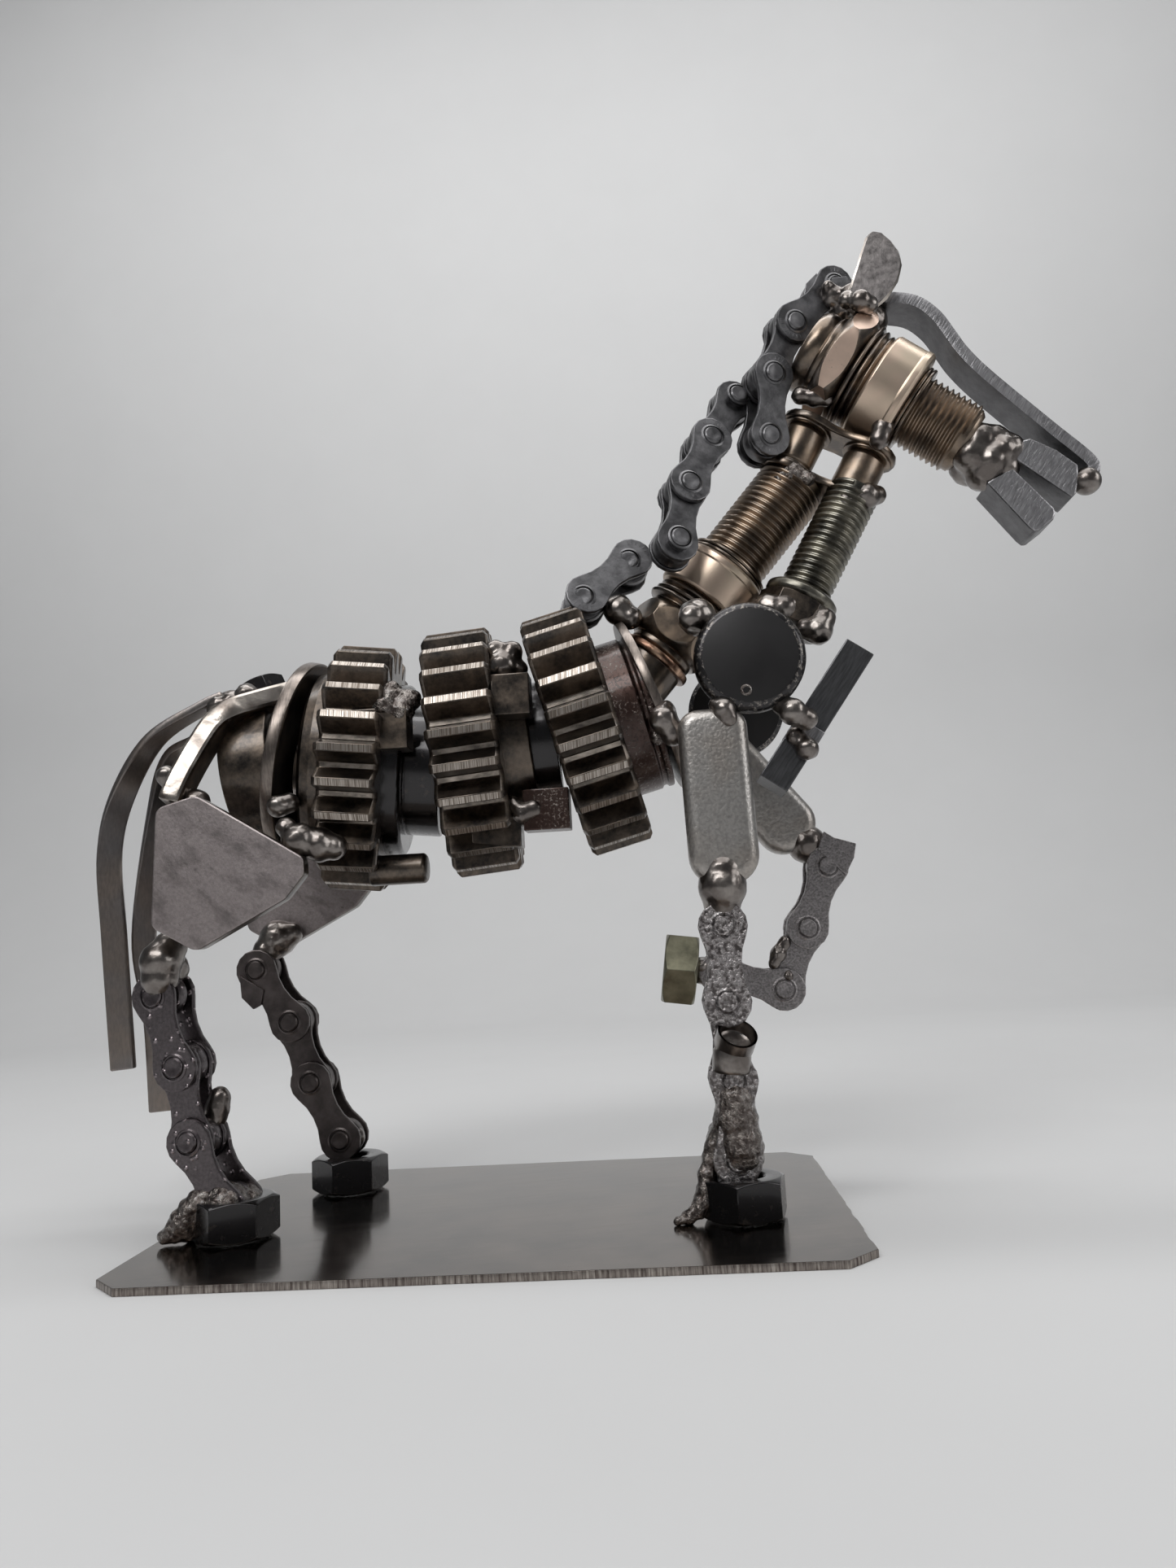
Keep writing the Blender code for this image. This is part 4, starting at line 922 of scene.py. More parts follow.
def stand_height():
    """Height of the body's datum: three links above the hoof nuts."""
    stand, chain = sizes_of("stand"), sizes_of("chain")
    return stand.plate_thickness + GAP + stand.nut_height + 3 * chain.pitch


def body(x, y, z):
    """A point of the horse's pose, from the body's datum."""
    return Vector((x, y, z + stand_height()))


def pins_along(start, *steps):
    """The pins of a run of links: each step is a direction, one pitch long."""
    pitch = sizes_of("chain").pitch
    pins = [start]
    for step in steps:
        pins.append(pins[-1] + Vector(step).normalized() * pitch)
    return pins


def leg_pins():
    return SimpleNamespace(
        hind_near=pins_along(body(-57.7, -12.9, -3.8), (3.8, 0, -12.3), (2.4, 0, -12.6), (5.9, 0, -11.0)),
        hind_far=pins_along(body(-52.4, 20.4, -0.6), (7.2, 0, -11.4), (4.0, 0, -12.0), (5.8, 0, -11.3)),
        fore_near=pins_along(body(40.5, -13.5, 2.9), (-0.2, 0, -12.7), (0.1, 0, -12.7), (-0.3, 0, -12.7)),
        fore_far=pins_along(body(63.3, 16.0, 13.5), (-4.9, 0, -11.8), (-5.4, 0, -11.6), (-11.9, 0, 3.6)))


def barrel_places():
    """Middles and axes of the gears and the washer."""
    rear_at = body(-25.2, MIDDLE_Y, 37)
    middle_at = rear_at + Vector((REAR_WIDTH / 2 + 9.8 + MIDDLE_WIDTH / 2, 0, 1.7))
    front_at = middle_at + Vector((MIDDLE_WIDTH / 2 + 9.6 + FRONT_WIDTH / 2, 0, 2.8))
    front_axis = Vector((1, 0, 0.257)).normalized()
    return SimpleNamespace(
        rear_at=rear_at, rear_axis=Vector((1, 0.108, -0.105)),
        middle_at=middle_at, middle_axis=Vector((1, 0.052, 0.09)), front_at=front_at, front_axis=front_axis,
        washer_at=front_at + front_axis * 13 + Vector((0.2, 0, 1)), washer_axis=Vector((1, 0, 0.36)))


def shoulder_places():
    """Middles of the shoulder bars and of the discs on them."""
    near_bar, far_bar = body(41.3, -15.0, 24.9), body(50.0, 16.0, 30.0)
    near_disc = Vector((near_bar.x + 7.1, near_bar.y - BAR_THICKNESS / 2 + DISC_THICKNESS / 2,
                        near_bar.z + BAR_HALF_LENGTH + DISC_RADIUS - 1.0))
    far_disc = Vector((near_disc.x, far_bar.y + BAR_THICKNESS / 2 + GAP + DISC_THICKNESS / 2,
                       near_disc.z - 2))
    return SimpleNamespace(near_bar=near_bar, far_bar=far_bar, near_disc=near_disc, far_disc=far_disc)


def throat_places():
    """The throat link's middle, its length and its pins' way; and the ends of what is welded to it."""
    along, up = Vector((0.866, 0, -0.5)).normalized(), Vector((0.5, 0, 0.866)).normalized()
    middle = body(68.4, MIDDLE_Y, 91.6)
    return SimpleNamespace(middle=middle, along=along, up=up, half=6.0,
                           neck_top=middle - along * 4.2 - up * 6.0 + Y * 1.5,
                           bolt_top=middle + along * 7.2 - up * 6.0 - Y * 3.0)


def head_place():
    """The end of the head plug's thread, and the way it points."""
    at = throat_places()
    sizes = sizes_of("plugs")
    nose_down = Vector((0.795, 0, -0.606)).normalized()
    collar = at.middle + at.up * (at.half + GAP + sizes.head_collar) + at.along * 4.8 - Y * 1.5
    return collar + nose_down * (sizes.collar_length / 2 + sizes.head_thread), nose_down


# Pieces

def make_base():
    sizes = sizes_of("stand")
    half_length, half_width, cut = sizes.plate_length / 2, sizes.plate_width / 2, sizes.plate_corner
    quarter = [(half_length, half_width - cut), (half_length - cut, half_width)]
    half = quarter + [(-x, y) for x, y in reversed(quarter)]
    outline = half + [(x, -y) for x, y in reversed(half)]
    plate = slab(outline, sizes.plate_thickness, 0)
    ragged = [edge for edge in plate.edges if edge.calc_length() > cut]
    bmesh.ops.subdivide_edges(plate, edges=ragged, cuts=40)
    for vert in plate.verts:
        vert.co.x -= 0.5 * max(0, noise.noise(Vector((vert.co.x, vert.co.y, 0)) * 0.35)) * (vert.co.x > 0)
        vert.co.y *= 1 - 0.004 * max(0, noise.noise(Vector((vert.co.x, vert.co.y, 0)) * 0.2))
    soften(plate, 0.12, 2, 60)
    single("base_sheet", ("sheet", "sheared"), plate, Matrix.Translation(Z * sizes.plate_thickness / 2),
           "dark_steel", "base_plate", first=lambda face: abs(face.normal.z) > 0.8)


def hex_nut(across, height, bore):
    """A nut about Z, chamfered at both ends, with an open bore."""
    corner = across / sqrt(3)
    drop = (corner - across / 2 * 0.97) * 0.55
    rim = across / 2 * 0.97
    dome = turned([(0, height / 2), (rim, height / 2), (corner + 0.02, height / 2 - drop),
                   (corner + 0.02, drop - height / 2), (rim, -height / 2), (0, -height / 2)], 72)
    nut = carved(slab(hexagon(across), height + 2, 0), dome, "INTERSECT")
    nut = carved(nut, turned([(0, height), (bore + 4, height), (bore, height / 2 - 0.5),
                              (bore, 0.5 - height / 2), (bore + 4, -height), (0, -height)], 40))
    return soften(nut, 0.2, 2, 24)


def make_hooves():
    sizes = sizes_of("stand")
    nut = sizes.nut_across, sizes.nut_height, sizes.nut_bore
    pins = leg_pins()
    for name, foot in (("hind_near", pins.hind_near[-1] + X * 0.2), ("hind_far", pins.hind_far[-1] + X),
                       ("fore_near", pins.fore_near[-1] + X * 0.8)):
        at = Vector((foot.x, foot.y, sizes.plate_thickness + GAP + sizes.nut_height / 2))
        single(name + "_nut", ("black",), hex_nut(*nut), pose(at, Z, Y + X * 0.2), "dark_steel",
               name + "_hoof")
    back = Vector((-0.99, 0, 0.15)).normalized()
    reach = sizes_of("chain").end_radius + GAP + sizes.nut_height / 2
    at = pins.fore_far[-1] + back * reach
    single("fore_far_nut", ("zinc",), hex_nut(*nut), pose(at, back, Y), "zinc_plate", "fore_far_hoof")


def rivet(radius, height):
    """A riveted pin head, standing up from the origin in a shallow ring, with a dimple in its middle."""
    return turned([(0, height - 0.12), (radius * 0.35, height - 0.08), (radius * 0.6, height),
                   (radius * 0.8, height),
                   (radius * 0.93, height - 0.2), (radius, 0.02), (radius, -0.6), (0, -0.6)], 28)


def run_of_chain(piece, pins, side, finish, outer=True, marks=False, missing=()):
    """Links through a row of pins; side is the way the pins lie. A link in missing lacks its near plate."""
    chain = sizes_of("chain")
    outer_offset = (chain.width - chain.plate) / 2
    side = side.normalized()
    for n, (start, end) in enumerate(pairwise(pins)):
        along = end - start
        across = (side - side.project(along)).normalized()
        offset = outer_offset if outer else outer_offset - chain.plate - 0.08
        for hand in (1, -1):
            if hand < 0 and n in missing:
                continue
            where = pose((start + end) / 2 + across * hand * offset, across * hand, along)
            piece.add(side_plate(chain.pitch, chain.end_radius, chain.waist, chain.plate), where, finish)
            if marks and outer and hand < 0:
                stamped_marks(piece, where, chain, finish)
        outer = not outer
    for pin in pins:
        for hand in (1, -1):
            where = pose(pin + side * hand * (outer_offset + chain.plate / 2), side * hand)
            piece.add(rivet(chain.pin, 0.45), where, finish)
            collar = turned([(chain.pin + 0.55, 0.06), (chain.pin + 0.2, 0.22), (chain.pin + 0.05, -0.3),
                             (chain.pin + 0.5, -0.3)], 28, closed=True)
            piece.add(collar, where, finish)
        half = outer_offset - chain.plate * 1.5 - 0.2
        piece.add(rod(chain.roller, half, -half, 36, 0.25), pose(pin, side), finish)
        piece.add(rod(chain.pin + 0.4, outer_offset, -outer_offset, 20), pose(pin, side), finish)


def stamped_marks(piece, where, chain, finish):
    """Short shallow strokes round the pins of an outer plate."""
    for end in (1, -1):
        for turn in range(-60, 75, 15):
            angle = radians(turn)
            at = Vector((end * (chain.pitch / 2 + 3.1 * cos(angle)), end * 3.1 * sin(angle), chain.plate / 2))
            stroke = slab([(0.35, 0.08), (-0.35, 0.08), (-0.35, -0.08), (0.35, -0.08)], 0.08, 0.03, 1)
            piece.add(stroke, where @ Matrix.Translation(at) @ Matrix.Rotation(angle, 4, "Z"), finish)


def torn_plate(piece, corners, y, thickness, finish):
    """A broken bit of side plate: corners as (x, z) from the body's datum, seen from the near side."""
    piece.add(slab(corners, thickness), pose(body(0, y, 0), -Y), finish)


def gear_outline(sizes):
    tooth = 2 * pi / sizes.teeth
    root_radius = sizes.tip_radius - sizes.tooth_height
    tip = sizes.tip_land / 2 / sizes.tip_radius
    root = tooth / 2 - sizes.root_land / 2 / root_radius
    outline = []
    for n in range(sizes.teeth):
        for radius, turn in ((root_radius, -root), (sizes.tip_radius, -tip), (sizes.tip_radius, tip),
                             (root_radius, root)):
            outline.append((radius * cos(n * tooth + turn), radius * sin(n * tooth + turn)))
    return outline


def gear_wheel(piece, where, width):
    """A toothed wheel about Z with chamfered teeth, an open bore and other metals on tips and roots."""
    sizes = sizes_of("gears")
    bm = bmesh.new()
    outline = [Vector((x, y, 0)) for x, y in gear_outline(sizes)]
    shrink = 1 - sizes.chamfer / sizes.tip_radius
    levels = [(-width / 2, shrink), (sizes.chamfer * 0.8 - width / 2, 1),
              (width / 2 - sizes.chamfer * 0.8, 1), (width / 2, shrink)]
    skin(bm, [[bm.verts.new(point * scale + Z * height) for point in outline] for height, scale in levels])
    bm = carved(bm, rod(sizes.bore, width, -width, 48))
    soften(bm, 0.13, 2, 28)
    root_radius = sizes.tip_radius - sizes.tooth_height
    for face in bm.faces:
        radial = outward(face)
        square = face.normal.dot(radial.normalized()) > 0.97 and face.calc_area() > 2
        part = "gear"
        if square and radial.length > sizes.tip_radius - 0.4:
            part = "tip"
        elif square and abs(radial.length - root_radius) < 0.5:
            part = "root"
        face.material_index = piece.metals.index(part)
    piece.add(bm, where)


def block(size, edge=0.25, segments=2):
    return slab([(size[0] / 2, size[1] / 2), (-size[0] / 2, size[1] / 2), (-size[0] / 2, -size[1] / 2),
                 (size[0] / 2, -size[1] / 2)], size[2], edge, segments)


def make_barrel():
    at = barrel_places()
    tip = sizes_of("gears").tip_radius
    near, far = Y * -0.66 * tip, Y * 0.66 * tip
    low = Vector((0, -0.40, -0.68)) * tip
    dog = (5.25, 7.5)

    single("washer", ("ring", "turned"), tube(17.0, 8.0, 1.7, 0.25), pose(at.washer_at, at.washer_axis),
           "satin_steel", "withers_washer", first=lambda face: abs(face.normal.z) >= 0.6)

    piece = Scrap("front_cog", "gear", "tip", "root", "rusty")
    place = pose(at.front_at, at.front_axis, Z)
    gear_wheel(piece, place, FRONT_WIDTH)
    hub = turned([(15.0, 7.0), (15.0, 5.9), (14.5, 5.7), (14.5, 4.9), (15.0, 4.7), (15.0, -1), (8.0, -1),
                  (8.0, 7.0)],
                 64, 0.25, closed=True)
    piece.add(hub, raised(place, FRONT_WIDTH / 2), "rusty")
    piece.add(block((8.4, *dog)), Matrix.Translation(at.front_at + low - X * 7.4), "rusty")
    piece.done("dark_steel", "front_gear")

    piece = Scrap("middle_cog", "gear", "tip", "root", "black")
    place = pose(at.middle_at, at.middle_axis, Z)
    gear_wheel(piece, place, MIDDLE_WIDTH)
    start = MIDDLE_WIDTH / 2
    for shift, length_along in ((near + Z * 7 + X * (start + 3.4), 6.8), (far + Z * 4 + X * (start + 3), 12),
                                (low + X * (start - 1), 9.0)):
        piece.add(block((length_along, *dog)), Matrix.Translation(at.middle_at + shift), "gear")
    piece.add(sleeve(12.0, 8.0, 1.6, -1, 0.3), raised(place, start), "gear")
    collar = turned([(13.2, 3.2), (13.6, 3.0), (13.6, -5), (12.4, -5), (12.4, 3.2)], 64, 0.2, closed=True)
    piece.add(collar, raised(place, start + 2), "gear")
    piece.add(sleeve(11.8, 8.0, 9.8, -1), raised(place, start), "black")
    piece.done("dark_steel", "middle_gear")

    piece = Scrap("rear_cog", "gear", "tip", "root", "black")
    place = pose(at.rear_at, at.rear_axis, Z)
    gear_wheel(piece, place, REAR_WIDTH)
    start = REAR_WIDTH / 2
    for shift in (near + Z * 4 + X * (start + 2), far + Z * 2 + X * (start + 3)):
        piece.add(block((10.0, *dog)), Matrix.Translation(at.rear_at + shift), "gear")
    peg = turned([(0, 10.5), (2.3, 10.5), (2.8, 10.0), (2.8, 0), (0, 0)], 40, 0.2)
    piece.add(peg, pose(at.rear_at + Vector((start - 3, -0.28 * tip, -0.87 * tip)), X, Z), "gear")
    hub = turned([(16.4, 4), (17.6, 3.2), (18.2, 1.6), (18.2, -1), (8.0, -1), (8.0, 4)], 64, 0.4, closed=True)
    piece.add(hub, raised(place, -start) @ Matrix.Rotation(pi, 4, "X"), "gear")
    drum = turned([(16.0, 3.4), (16.6, 2.8), (16.6, -1), (8.0, -1), (8.0, 9.9), (12.4, 9.9), (12.4, 3.4)],
                  64, 0.2, closed=True)
    piece.add(drum, raised(place, start), "black")
    piece.done("dark_steel", "rear_gear")


def make_hips():
    at = barrel_places()
    ring_at = at.rear_at - X * (REAR_WIDTH / 2 + 4 + HIP_RING_THICKNESS / 2 + 1.0) + Z * 2
    single("hip_hoop", ("ring", "turned"), tube(19.5, 9.4, HIP_RING_THICKNESS, 0.5, 72),
           pose(ring_at, (1, 0, -0.21)), "satin_steel", "hip_ring",
           first=lambda face: face.normal.dot(outward(face).normalized()) <= 0.6)

    bearing_at = ring_at - X * (HIP_RING_THICKNESS / 2 + HIP_BEARING_LENGTH / 2 + 1.2) - Z * 2
    piece = Scrap("hip_race", "gear", "ring")
    place = pose(bearing_at, (1, 0, 0.12))
    race = turned([(15, 4.5), (15, -4.5), (12.6, -4.5), (11.6, -3.5), (11.6, -1), (12.2, 0), (11.6, 1),
                   (11.6, 3.5), (12.6, 4.5)], 72, 0.2, closed=True)
    piece.add(race, place, "gear")
    piece.add(tube(11.2, 9.4, 7.0, 0.3), place, "ring")
    for n in range(10):
        turn = 2 * pi * n / 10
        ball = bmesh.new()
        bmesh.ops.create_uvsphere(ball, u_segments=20, v_segments=12, radius=1.25)
        piece.add(ball, place @ Matrix.Translation((11.3 * cos(turn), 11.3 * sin(turn), 0)), "ring")
    piece.done("bronzed_steel", "hip_bearing")

    corners = [(-56.8, 7.9), (-49.0, 3.4), (-33.4, 11.4), (-30.0, 15.5), (-30.1, 18.4), (-48.9, 30.3),
               (-56.1, 28.4)]
    outline = rounded(corners, (2, 2.5, 2.6, 1.6, 1.6, 2.4, 2.0))
    for name, hand in (("near_thigh", -1), ("far_thigh", 1)):
        single(name + "_plate", ("ground", "gear"), slab(outline, 3.0, 0.28, 3),
               pose(body(0, MIDDLE_Y + hand * 22, 0), -Y), "satin_steel", name,
               first=lambda face: abs(face.normal.z) > 0.5)

    line = [(-36.8, 8.5, 50.9), (-42.0, 11.5, 48.9), (-46.0, 13.9, 47.0), (-48.6, 15.6, 44.4),
            (-50.8, 18.0, 39.4), (-52.8, 20.2, 34.0), (-54.4, 21.4, 29.2)]
    # Each strap's outer side takes the bright metal, partly a painted highlight; its other faces take the
    # dark smoked metal, which paints the shade seen on its top
    for name, hand in (("near_rump_strap", -1), ("far_rump_strap", 1)):
        path = smooth_line([body(x, MIDDLE_Y + hand * (y - 1.0), z) for x, y, z in line], 4)
        single(name + "_bar", ("polished", "smoked"), strip(path, 5.5, 4.0, [Y] * len(path), 0.7),
               Matrix.Identity(4), "satin_steel", name, first=lambda face: face.normal.y * hand > 0.4)

    axis = Vector((-0.45, 0, 1)).normalized()
    single("rump_stud", ("black",), hex_nut(9.0, 6.0, 2.25), pose(body(-44.2, 4.5, 50.0) + axis * 3, axis),
           "dark_steel", "rump_nut")


def make_tail():
    long_line = [(-52.5, 53.0), (-57.1, 51.2), (-67, 45.3), (-73.5, 34.4), (-75.9, 23.3), (-74.9, 7.6),
                 (-72.9, -17.7)]
    short_line = [(-53, 48.5), (-60, 45.5), (-65.3, 41.9), (-68, 30.7), (-70.9, 7.3), (-68.5, -8.2),
                  (-67.3, -26.2)]
    turns = [0, 0, 20, 45, 65, 80, 90]
    widths = [Y * cos(radians(turn)) + X * sin(radians(turn)) for turn in turns]
    for name, line, y in (("long_tail_strip", long_line, 3.0), ("short_tail_strip", short_line, 7.0)):
        path = [body(x, y, z) for x, z in line]
        flat = strip(smooth_line(path, 8), 4.6, 1.7, smooth_line(widths, 8), 0.35)
        single(name.replace("strip", "flat"), ("hammered",), flat, Matrix.Identity(4), "satin_steel", name)


def make_shoulders():
    at = shoulder_places()
    corners = [(BAR_HALF_WIDTH, BAR_HALF_LENGTH), (-BAR_HALF_WIDTH, BAR_HALF_LENGTH),
               (-BAR_HALF_WIDTH, -BAR_HALF_LENGTH), (BAR_HALF_WIDTH, -BAR_HALF_LENGTH)]
    outline = rounded(corners, (3.5, 3.5, 5.2, 5.2), 8)
    for name, middle, level in (("near", at.near_bar, (1, 0, 0.02)), ("far", at.far_bar, (0.788, 0, 0.615))):
        single(name + "_cast_bar", ("cast",), slab(outline, BAR_THICKNESS, 2.2, 7),
               pose(middle, -Y, Vector(level)), "cast_steel", name + "_shoulder_bar")

    for name, middle, out in (("near_shoulder_disc", at.near_disc, -Y),
                              ("far_shoulder_disc", at.far_disc, Y)):
        piece = Scrap(name.replace("shoulder_disc", "domed_disc"), "disc", "rim", "crust")
        half = DISC_THICKNESS / 2
        disc = turned([(0, half), (8.3, 2.2), (8.9, 1.98), (9.45, 1.45), (DISC_RADIUS, 0.6),
                       (DISC_RADIUS, -1.2), (8.9, -2.2), (0, -half)], 96)
        for face in disc.faces:
            face.material_index = 0 if outward(face).length < 8.3 else 1
        place = pose(middle, out)
        piece.add(disc, place)
        ring = turned([(1.0, 2.3), (0.75, 2.45), (0.55, 2.3), (0.75, 2.1)], 24, closed=True)
        piece.add(ring, place @ Matrix.Translation((-1.2, -6.2, 0)), "crust")
        piece.done("dark_steel", name)

    along = Vector((-0.59, 0, -0.807)).normalized()
    place = pose(body(59.8, -8.0, 38.7), along.cross(Y), along)
    piece = Scrap("chest_bar", "bar", "sawn")
    piece.add(block((29.0, 9.0, 5.5), 0.2), place, "bar")
    piece.add(block((4.6, 2.6, 5.66), 0.12), place @ Matrix.Translation((4.4, -3.3, 0)), "sawn")
    piece.done("dark_steel", "chest_block")


def plug_body(piece, place, part, turn):
    """A spark plug body along its own Z from its tail; turn is its hexagon's, in degrees."""
    sizes = sizes_of("plugs")
    thread_length, collar, across, hex_length, tail, hex_start = (
        getattr(sizes, part + key) for key in ("_thread", "_collar", "_across", "_hexagon", "_tail", "_end"))
    groove_start = hex_start + hex_length
    collar_start = groove_start + sizes.groove
    thread_start = collar_start + sizes.collar_length
    corner, flat = across / sqrt(3), across / 2
    flats = "rose" if "rose" in piece.metals else "bronzed"
    lips = turned([(0, hex_start + 1), (tail, hex_start + 1), (tail, hex_start - 1.0),
                   (tail - 0.7, hex_start - 1.5),
                   (tail - 0.3, hex_start - 2.2), (tail - 0.3, 1.2), (tail - 1.1, 0), (0, 0)], 56, 0.2)
    piece.add(lips, place, "smoked")
    dome = turned([(0, hex_length), (flat * 0.9, hex_length), (flat * 1.02, hex_length * 0.86),
                   (corner, hex_length * 0.6), (corner, hex_length * 0.4), (flat * 1.02, hex_length * 0.14),
                   (flat * 0.9, 0), (0, 0)], 96)
    hexagonal = slab(hexagon(across), 2 * hex_length + 2, 0)
    bmesh.ops.rotate(hexagonal, matrix=Matrix.Rotation(radians(turn), 3, "Z"), verts=hexagonal.verts)
    hexagonal = carved(hexagonal, dome, "INTERSECT")
    for face in hexagonal.faces:
        flat_face = abs(face.normal.z) < 0.05 and outward(face).length > flat * 0.9 and face.calc_area() > 12
        face.material_index = piece.metals.index(flats if flat_face else "smoked")
    soften(hexagonal, 0.15, 2, 15)
    piece.add(hexagonal, raised(place, hex_start))
    core = collar - 1.7
    rings = []
    for n, (ridge, wide) in enumerate(((collar - 0.2, 1.5), (collar - 0.6, 1.3), (collar - 0.9, 1.2))):
        start = groove_start + n * 1.33
        rings.extend([(core, start), (ridge - 0.3, start + 0.2 * wide), (ridge, start + 0.5 * wide),
                      (ridge - 0.3, start + 0.75 * wide)])
    profile = [(0, collar_start + 0.2), (core, collar_start + 0.2), *reversed(rings),
               (core, groove_start - 0.3), (0, groove_start - 0.3)]
    piece.add(turned(profile, 72, 0.12), place, "smoked")
    ring = turned([(0, thread_start), (sizes.thread + 1.0, thread_start), (collar - 0.45, thread_start - 0.1),
                   (collar, thread_start - 0.7), (collar, thread_start - 1.7),
                   (collar - 0.18, thread_start - 1.9),
                   (collar - 0.18, collar_start + 0.5), (collar - 0.6, collar_start), (0, collar_start)],
                   96, 0.1)
    piece.add(ring, place, "champagne")
    for rise in (0.5, 1.3):
        gasket = tube(sizes.thread + 1.4, sizes.thread - 0.8, 0.7, 0.3)
        piece.add(gasket, raised(place, thread_start + rise), "smoked")
    piece.add(thread(sizes.thread, thread_length - 0.8, sizes.thread_pitch),
              raised(place, thread_start), "bronzed")
    tip = turned([(0, 1.0), (sizes.thread - 1.5, 1.0), (sizes.thread - 0.9, 0.4), (sizes.thread - 0.7, -0.6),
                  (0, -0.6)], 48)
    piece.add(tip, raised(place, thread_start + thread_length - 1.0), "bronzed")


def plug_place(end, way, part):
    """The tail of a plug whose thread ends at a point and points a way."""
    sizes = sizes_of("plugs")
    total = sizes.groove + sizes.collar_length
    total += sum(getattr(sizes, part + key) for key in ("_end", "_hexagon", "_thread"))
    return pose(end - way * total, way, Y)


def make_neck():
    at = throat_places()
    piece = Scrap("throat_chain", "smoked", "bronzed")
    for hand in (1, -1):
        piece.add(side_plate(12.7, 5.6, 4.2, 1.5, 0.35),
                  pose(at.middle + at.up * hand * 5.25, at.up, at.along), "smoked")
        pin = pose(at.middle + at.along * hand * 6.35, at.up)
        roller = turned([(0, 4.3), (3.7, 4.3), (3.9, 3.6), (4.25, 3.2), (4.25, -3.2), (3.9, -3.6),
                         (3.7, -4.3), (0, -4.3)], 56, 0.2)
        piece.add(roller, pin, "bronzed")
        piece.add(rod(3.3, 5, -5, 40), pin, "smoked")
        for side in (1, -1):
            piece.add(tube(5.0, 3.6, 0.5, 0.18), raised(pin, side * 4.3), "smoked")
    piece.done("bronzed_steel", "throat_link")

    lean = Vector((0.66, 0, 0.75)).normalized()
    place = plug_place(at.neck_top + lean * 1.5, lean, "neck")
    piece = Scrap("neck_spark_body", "bronzed", "champagne", "smoked", "copper")
    plug_body(piece, place, "neck", 30)
    piece.add(tube(7.4, 5.0, 1.6, 0.5), raised(place, 7.6), "copper")
    piece.done("bronzed_steel", "neck_plug")

    foot = at.bolt_top - at.up * (5.0 + 2.4 + 22.8 - 2.0)
    place = pose(foot, at.up)
    piece = Scrap("neck_screw", "bolt", "gear")
    piece.add(thread(5.0, 23.4, 1.25, 0.55, 36), raised(place, 6.8), "bolt")
    piece.add(turned([(0, 2.4), (6.3, 2.4), (7.1, 1.7), (7.1, 0.6), (6.6, 0), (0, 0)], 56, 0.2),
              raised(place, 5.0), "bolt")
    piece.add(hex_nut(13.0, 5.4, 1.2), raised(place, 2.6), "gear")
    piece.done("satin_steel", "neck_bolt")


def make_head():
    thread_end, nose_down = head_place()
    piece = Scrap("head_spark_body", "bronzed", "champagne", "rose", "smoked")
    plug_body(piece, plug_place(thread_end, nose_down, "head"), "head", -10)
    piece.done("bronzed_steel", "head_plug")

    place = pose(thread_end, -Y)
    upper = [(6.9, -5.4), (8.1, -2.1), (10.4, -1.6), (15.0, -4.4), (18.5, -7.6), (18.3, -10.4), (17.5, -13.2),
             (16.7, -14.0), (15.6, -13.0)]
    lower = [(1.4, -9.7), (6.4, -7.2), (13.2, -15.8), (13.3, -16.8), (12.8, -18.0), (9.9, -20.0),
             (9.1, -20.1), (8.2, -19.2)]
    for name, outline in (("upper_jaw", upper), ("lower_jaw", lower)):
        single(name + "_plate", ("sawn", "worn"), slab(outline, 8.0, 0.35), place, "satin_steel", name,
               first=lambda face: face.normal.z > 0.5)

    line = [(77.5, 122.8), (82.0, 122.4), (87.0, 121.2), (90.6, 118.0), (93.0, 113.8), (95.2, 109.8),
            (99.4, 104.4), (109.6, 93.3), (116.2, 86.2), (116.6, 83.6)]
    path = smooth_line([body(x, thread_end.y, z) for x, z in line], 6)
    single("brow_band", ("sawn", "worn"), strip(path, 8.0, 2.3, [Y] * len(path)), Matrix.Identity(4),
           "satin_steel", "brow_strap", first=lambda face: abs(face.normal.y) > 0.7)

    for name, hand in (("near_ear", -1), ("far_ear", 1)):
        piece = Scrap(name + "_shell", "ear", "polished")
        piece.add(ear_shell(), Matrix.Translation(body(0, thread_end.y + hand * 6.0, 120.4)))
        piece.done("satin_steel", name)


def ear_shell():
    """A leaf cut from a tube: hollow, its rim painted bright as a highlight, its point up and leaning to the
    nose.
    """
    leaf = [(73.6, -0.6), (74.8, 3.6), (76.6, 8.2), (78.2, 12.4), (79.4, 14.5), (80.6, 14.8), (82.0, 13.6),
            (83.3, 11.3), (84.0, 8.4), (83.6, 5.0), (82.0, 1.9), (79.6, -0.4), (76.6, -1.4)]
    bm = bmesh.new()
    rim = [bm.verts.new((x, 0, z)) for x, z in leaf]
    bm.faces.new(rim)
    for inset in (0.6, 0.9, 1.2):
        inner = [face for face in bm.faces if len(face.verts) == len(leaf)]
        bmesh.ops.inset_region(bm, faces=inner, thickness=inset)
    spine_low, spine_high = Vector((76.0, 0, -1)), Vector((80.6, 0, 14.8))
    spine = (spine_high - spine_low).normalized()
    for vert in bm.verts:
        off = (vert.co - spine_low) - (vert.co - spine_low).project(spine)
        vert.co.y += 0.055 * (22 - off.length_squared)
    bmesh.ops.solidify(bm, geom=bm.faces, thickness=0.9)
    bmesh.ops.recalc_face_normals(bm, faces=bm.faces)
    # The rim faces take the bright strap metal, a painted highlight
    for face in bm.faces:
        face.material_index = 1 if abs(face.normal.y) < 0.5 else 0
    bmesh.ops.subdivide_edges(bm, edges=bm.edges, cuts=1, use_grid_fill=True, smooth=1.0)
    return bm


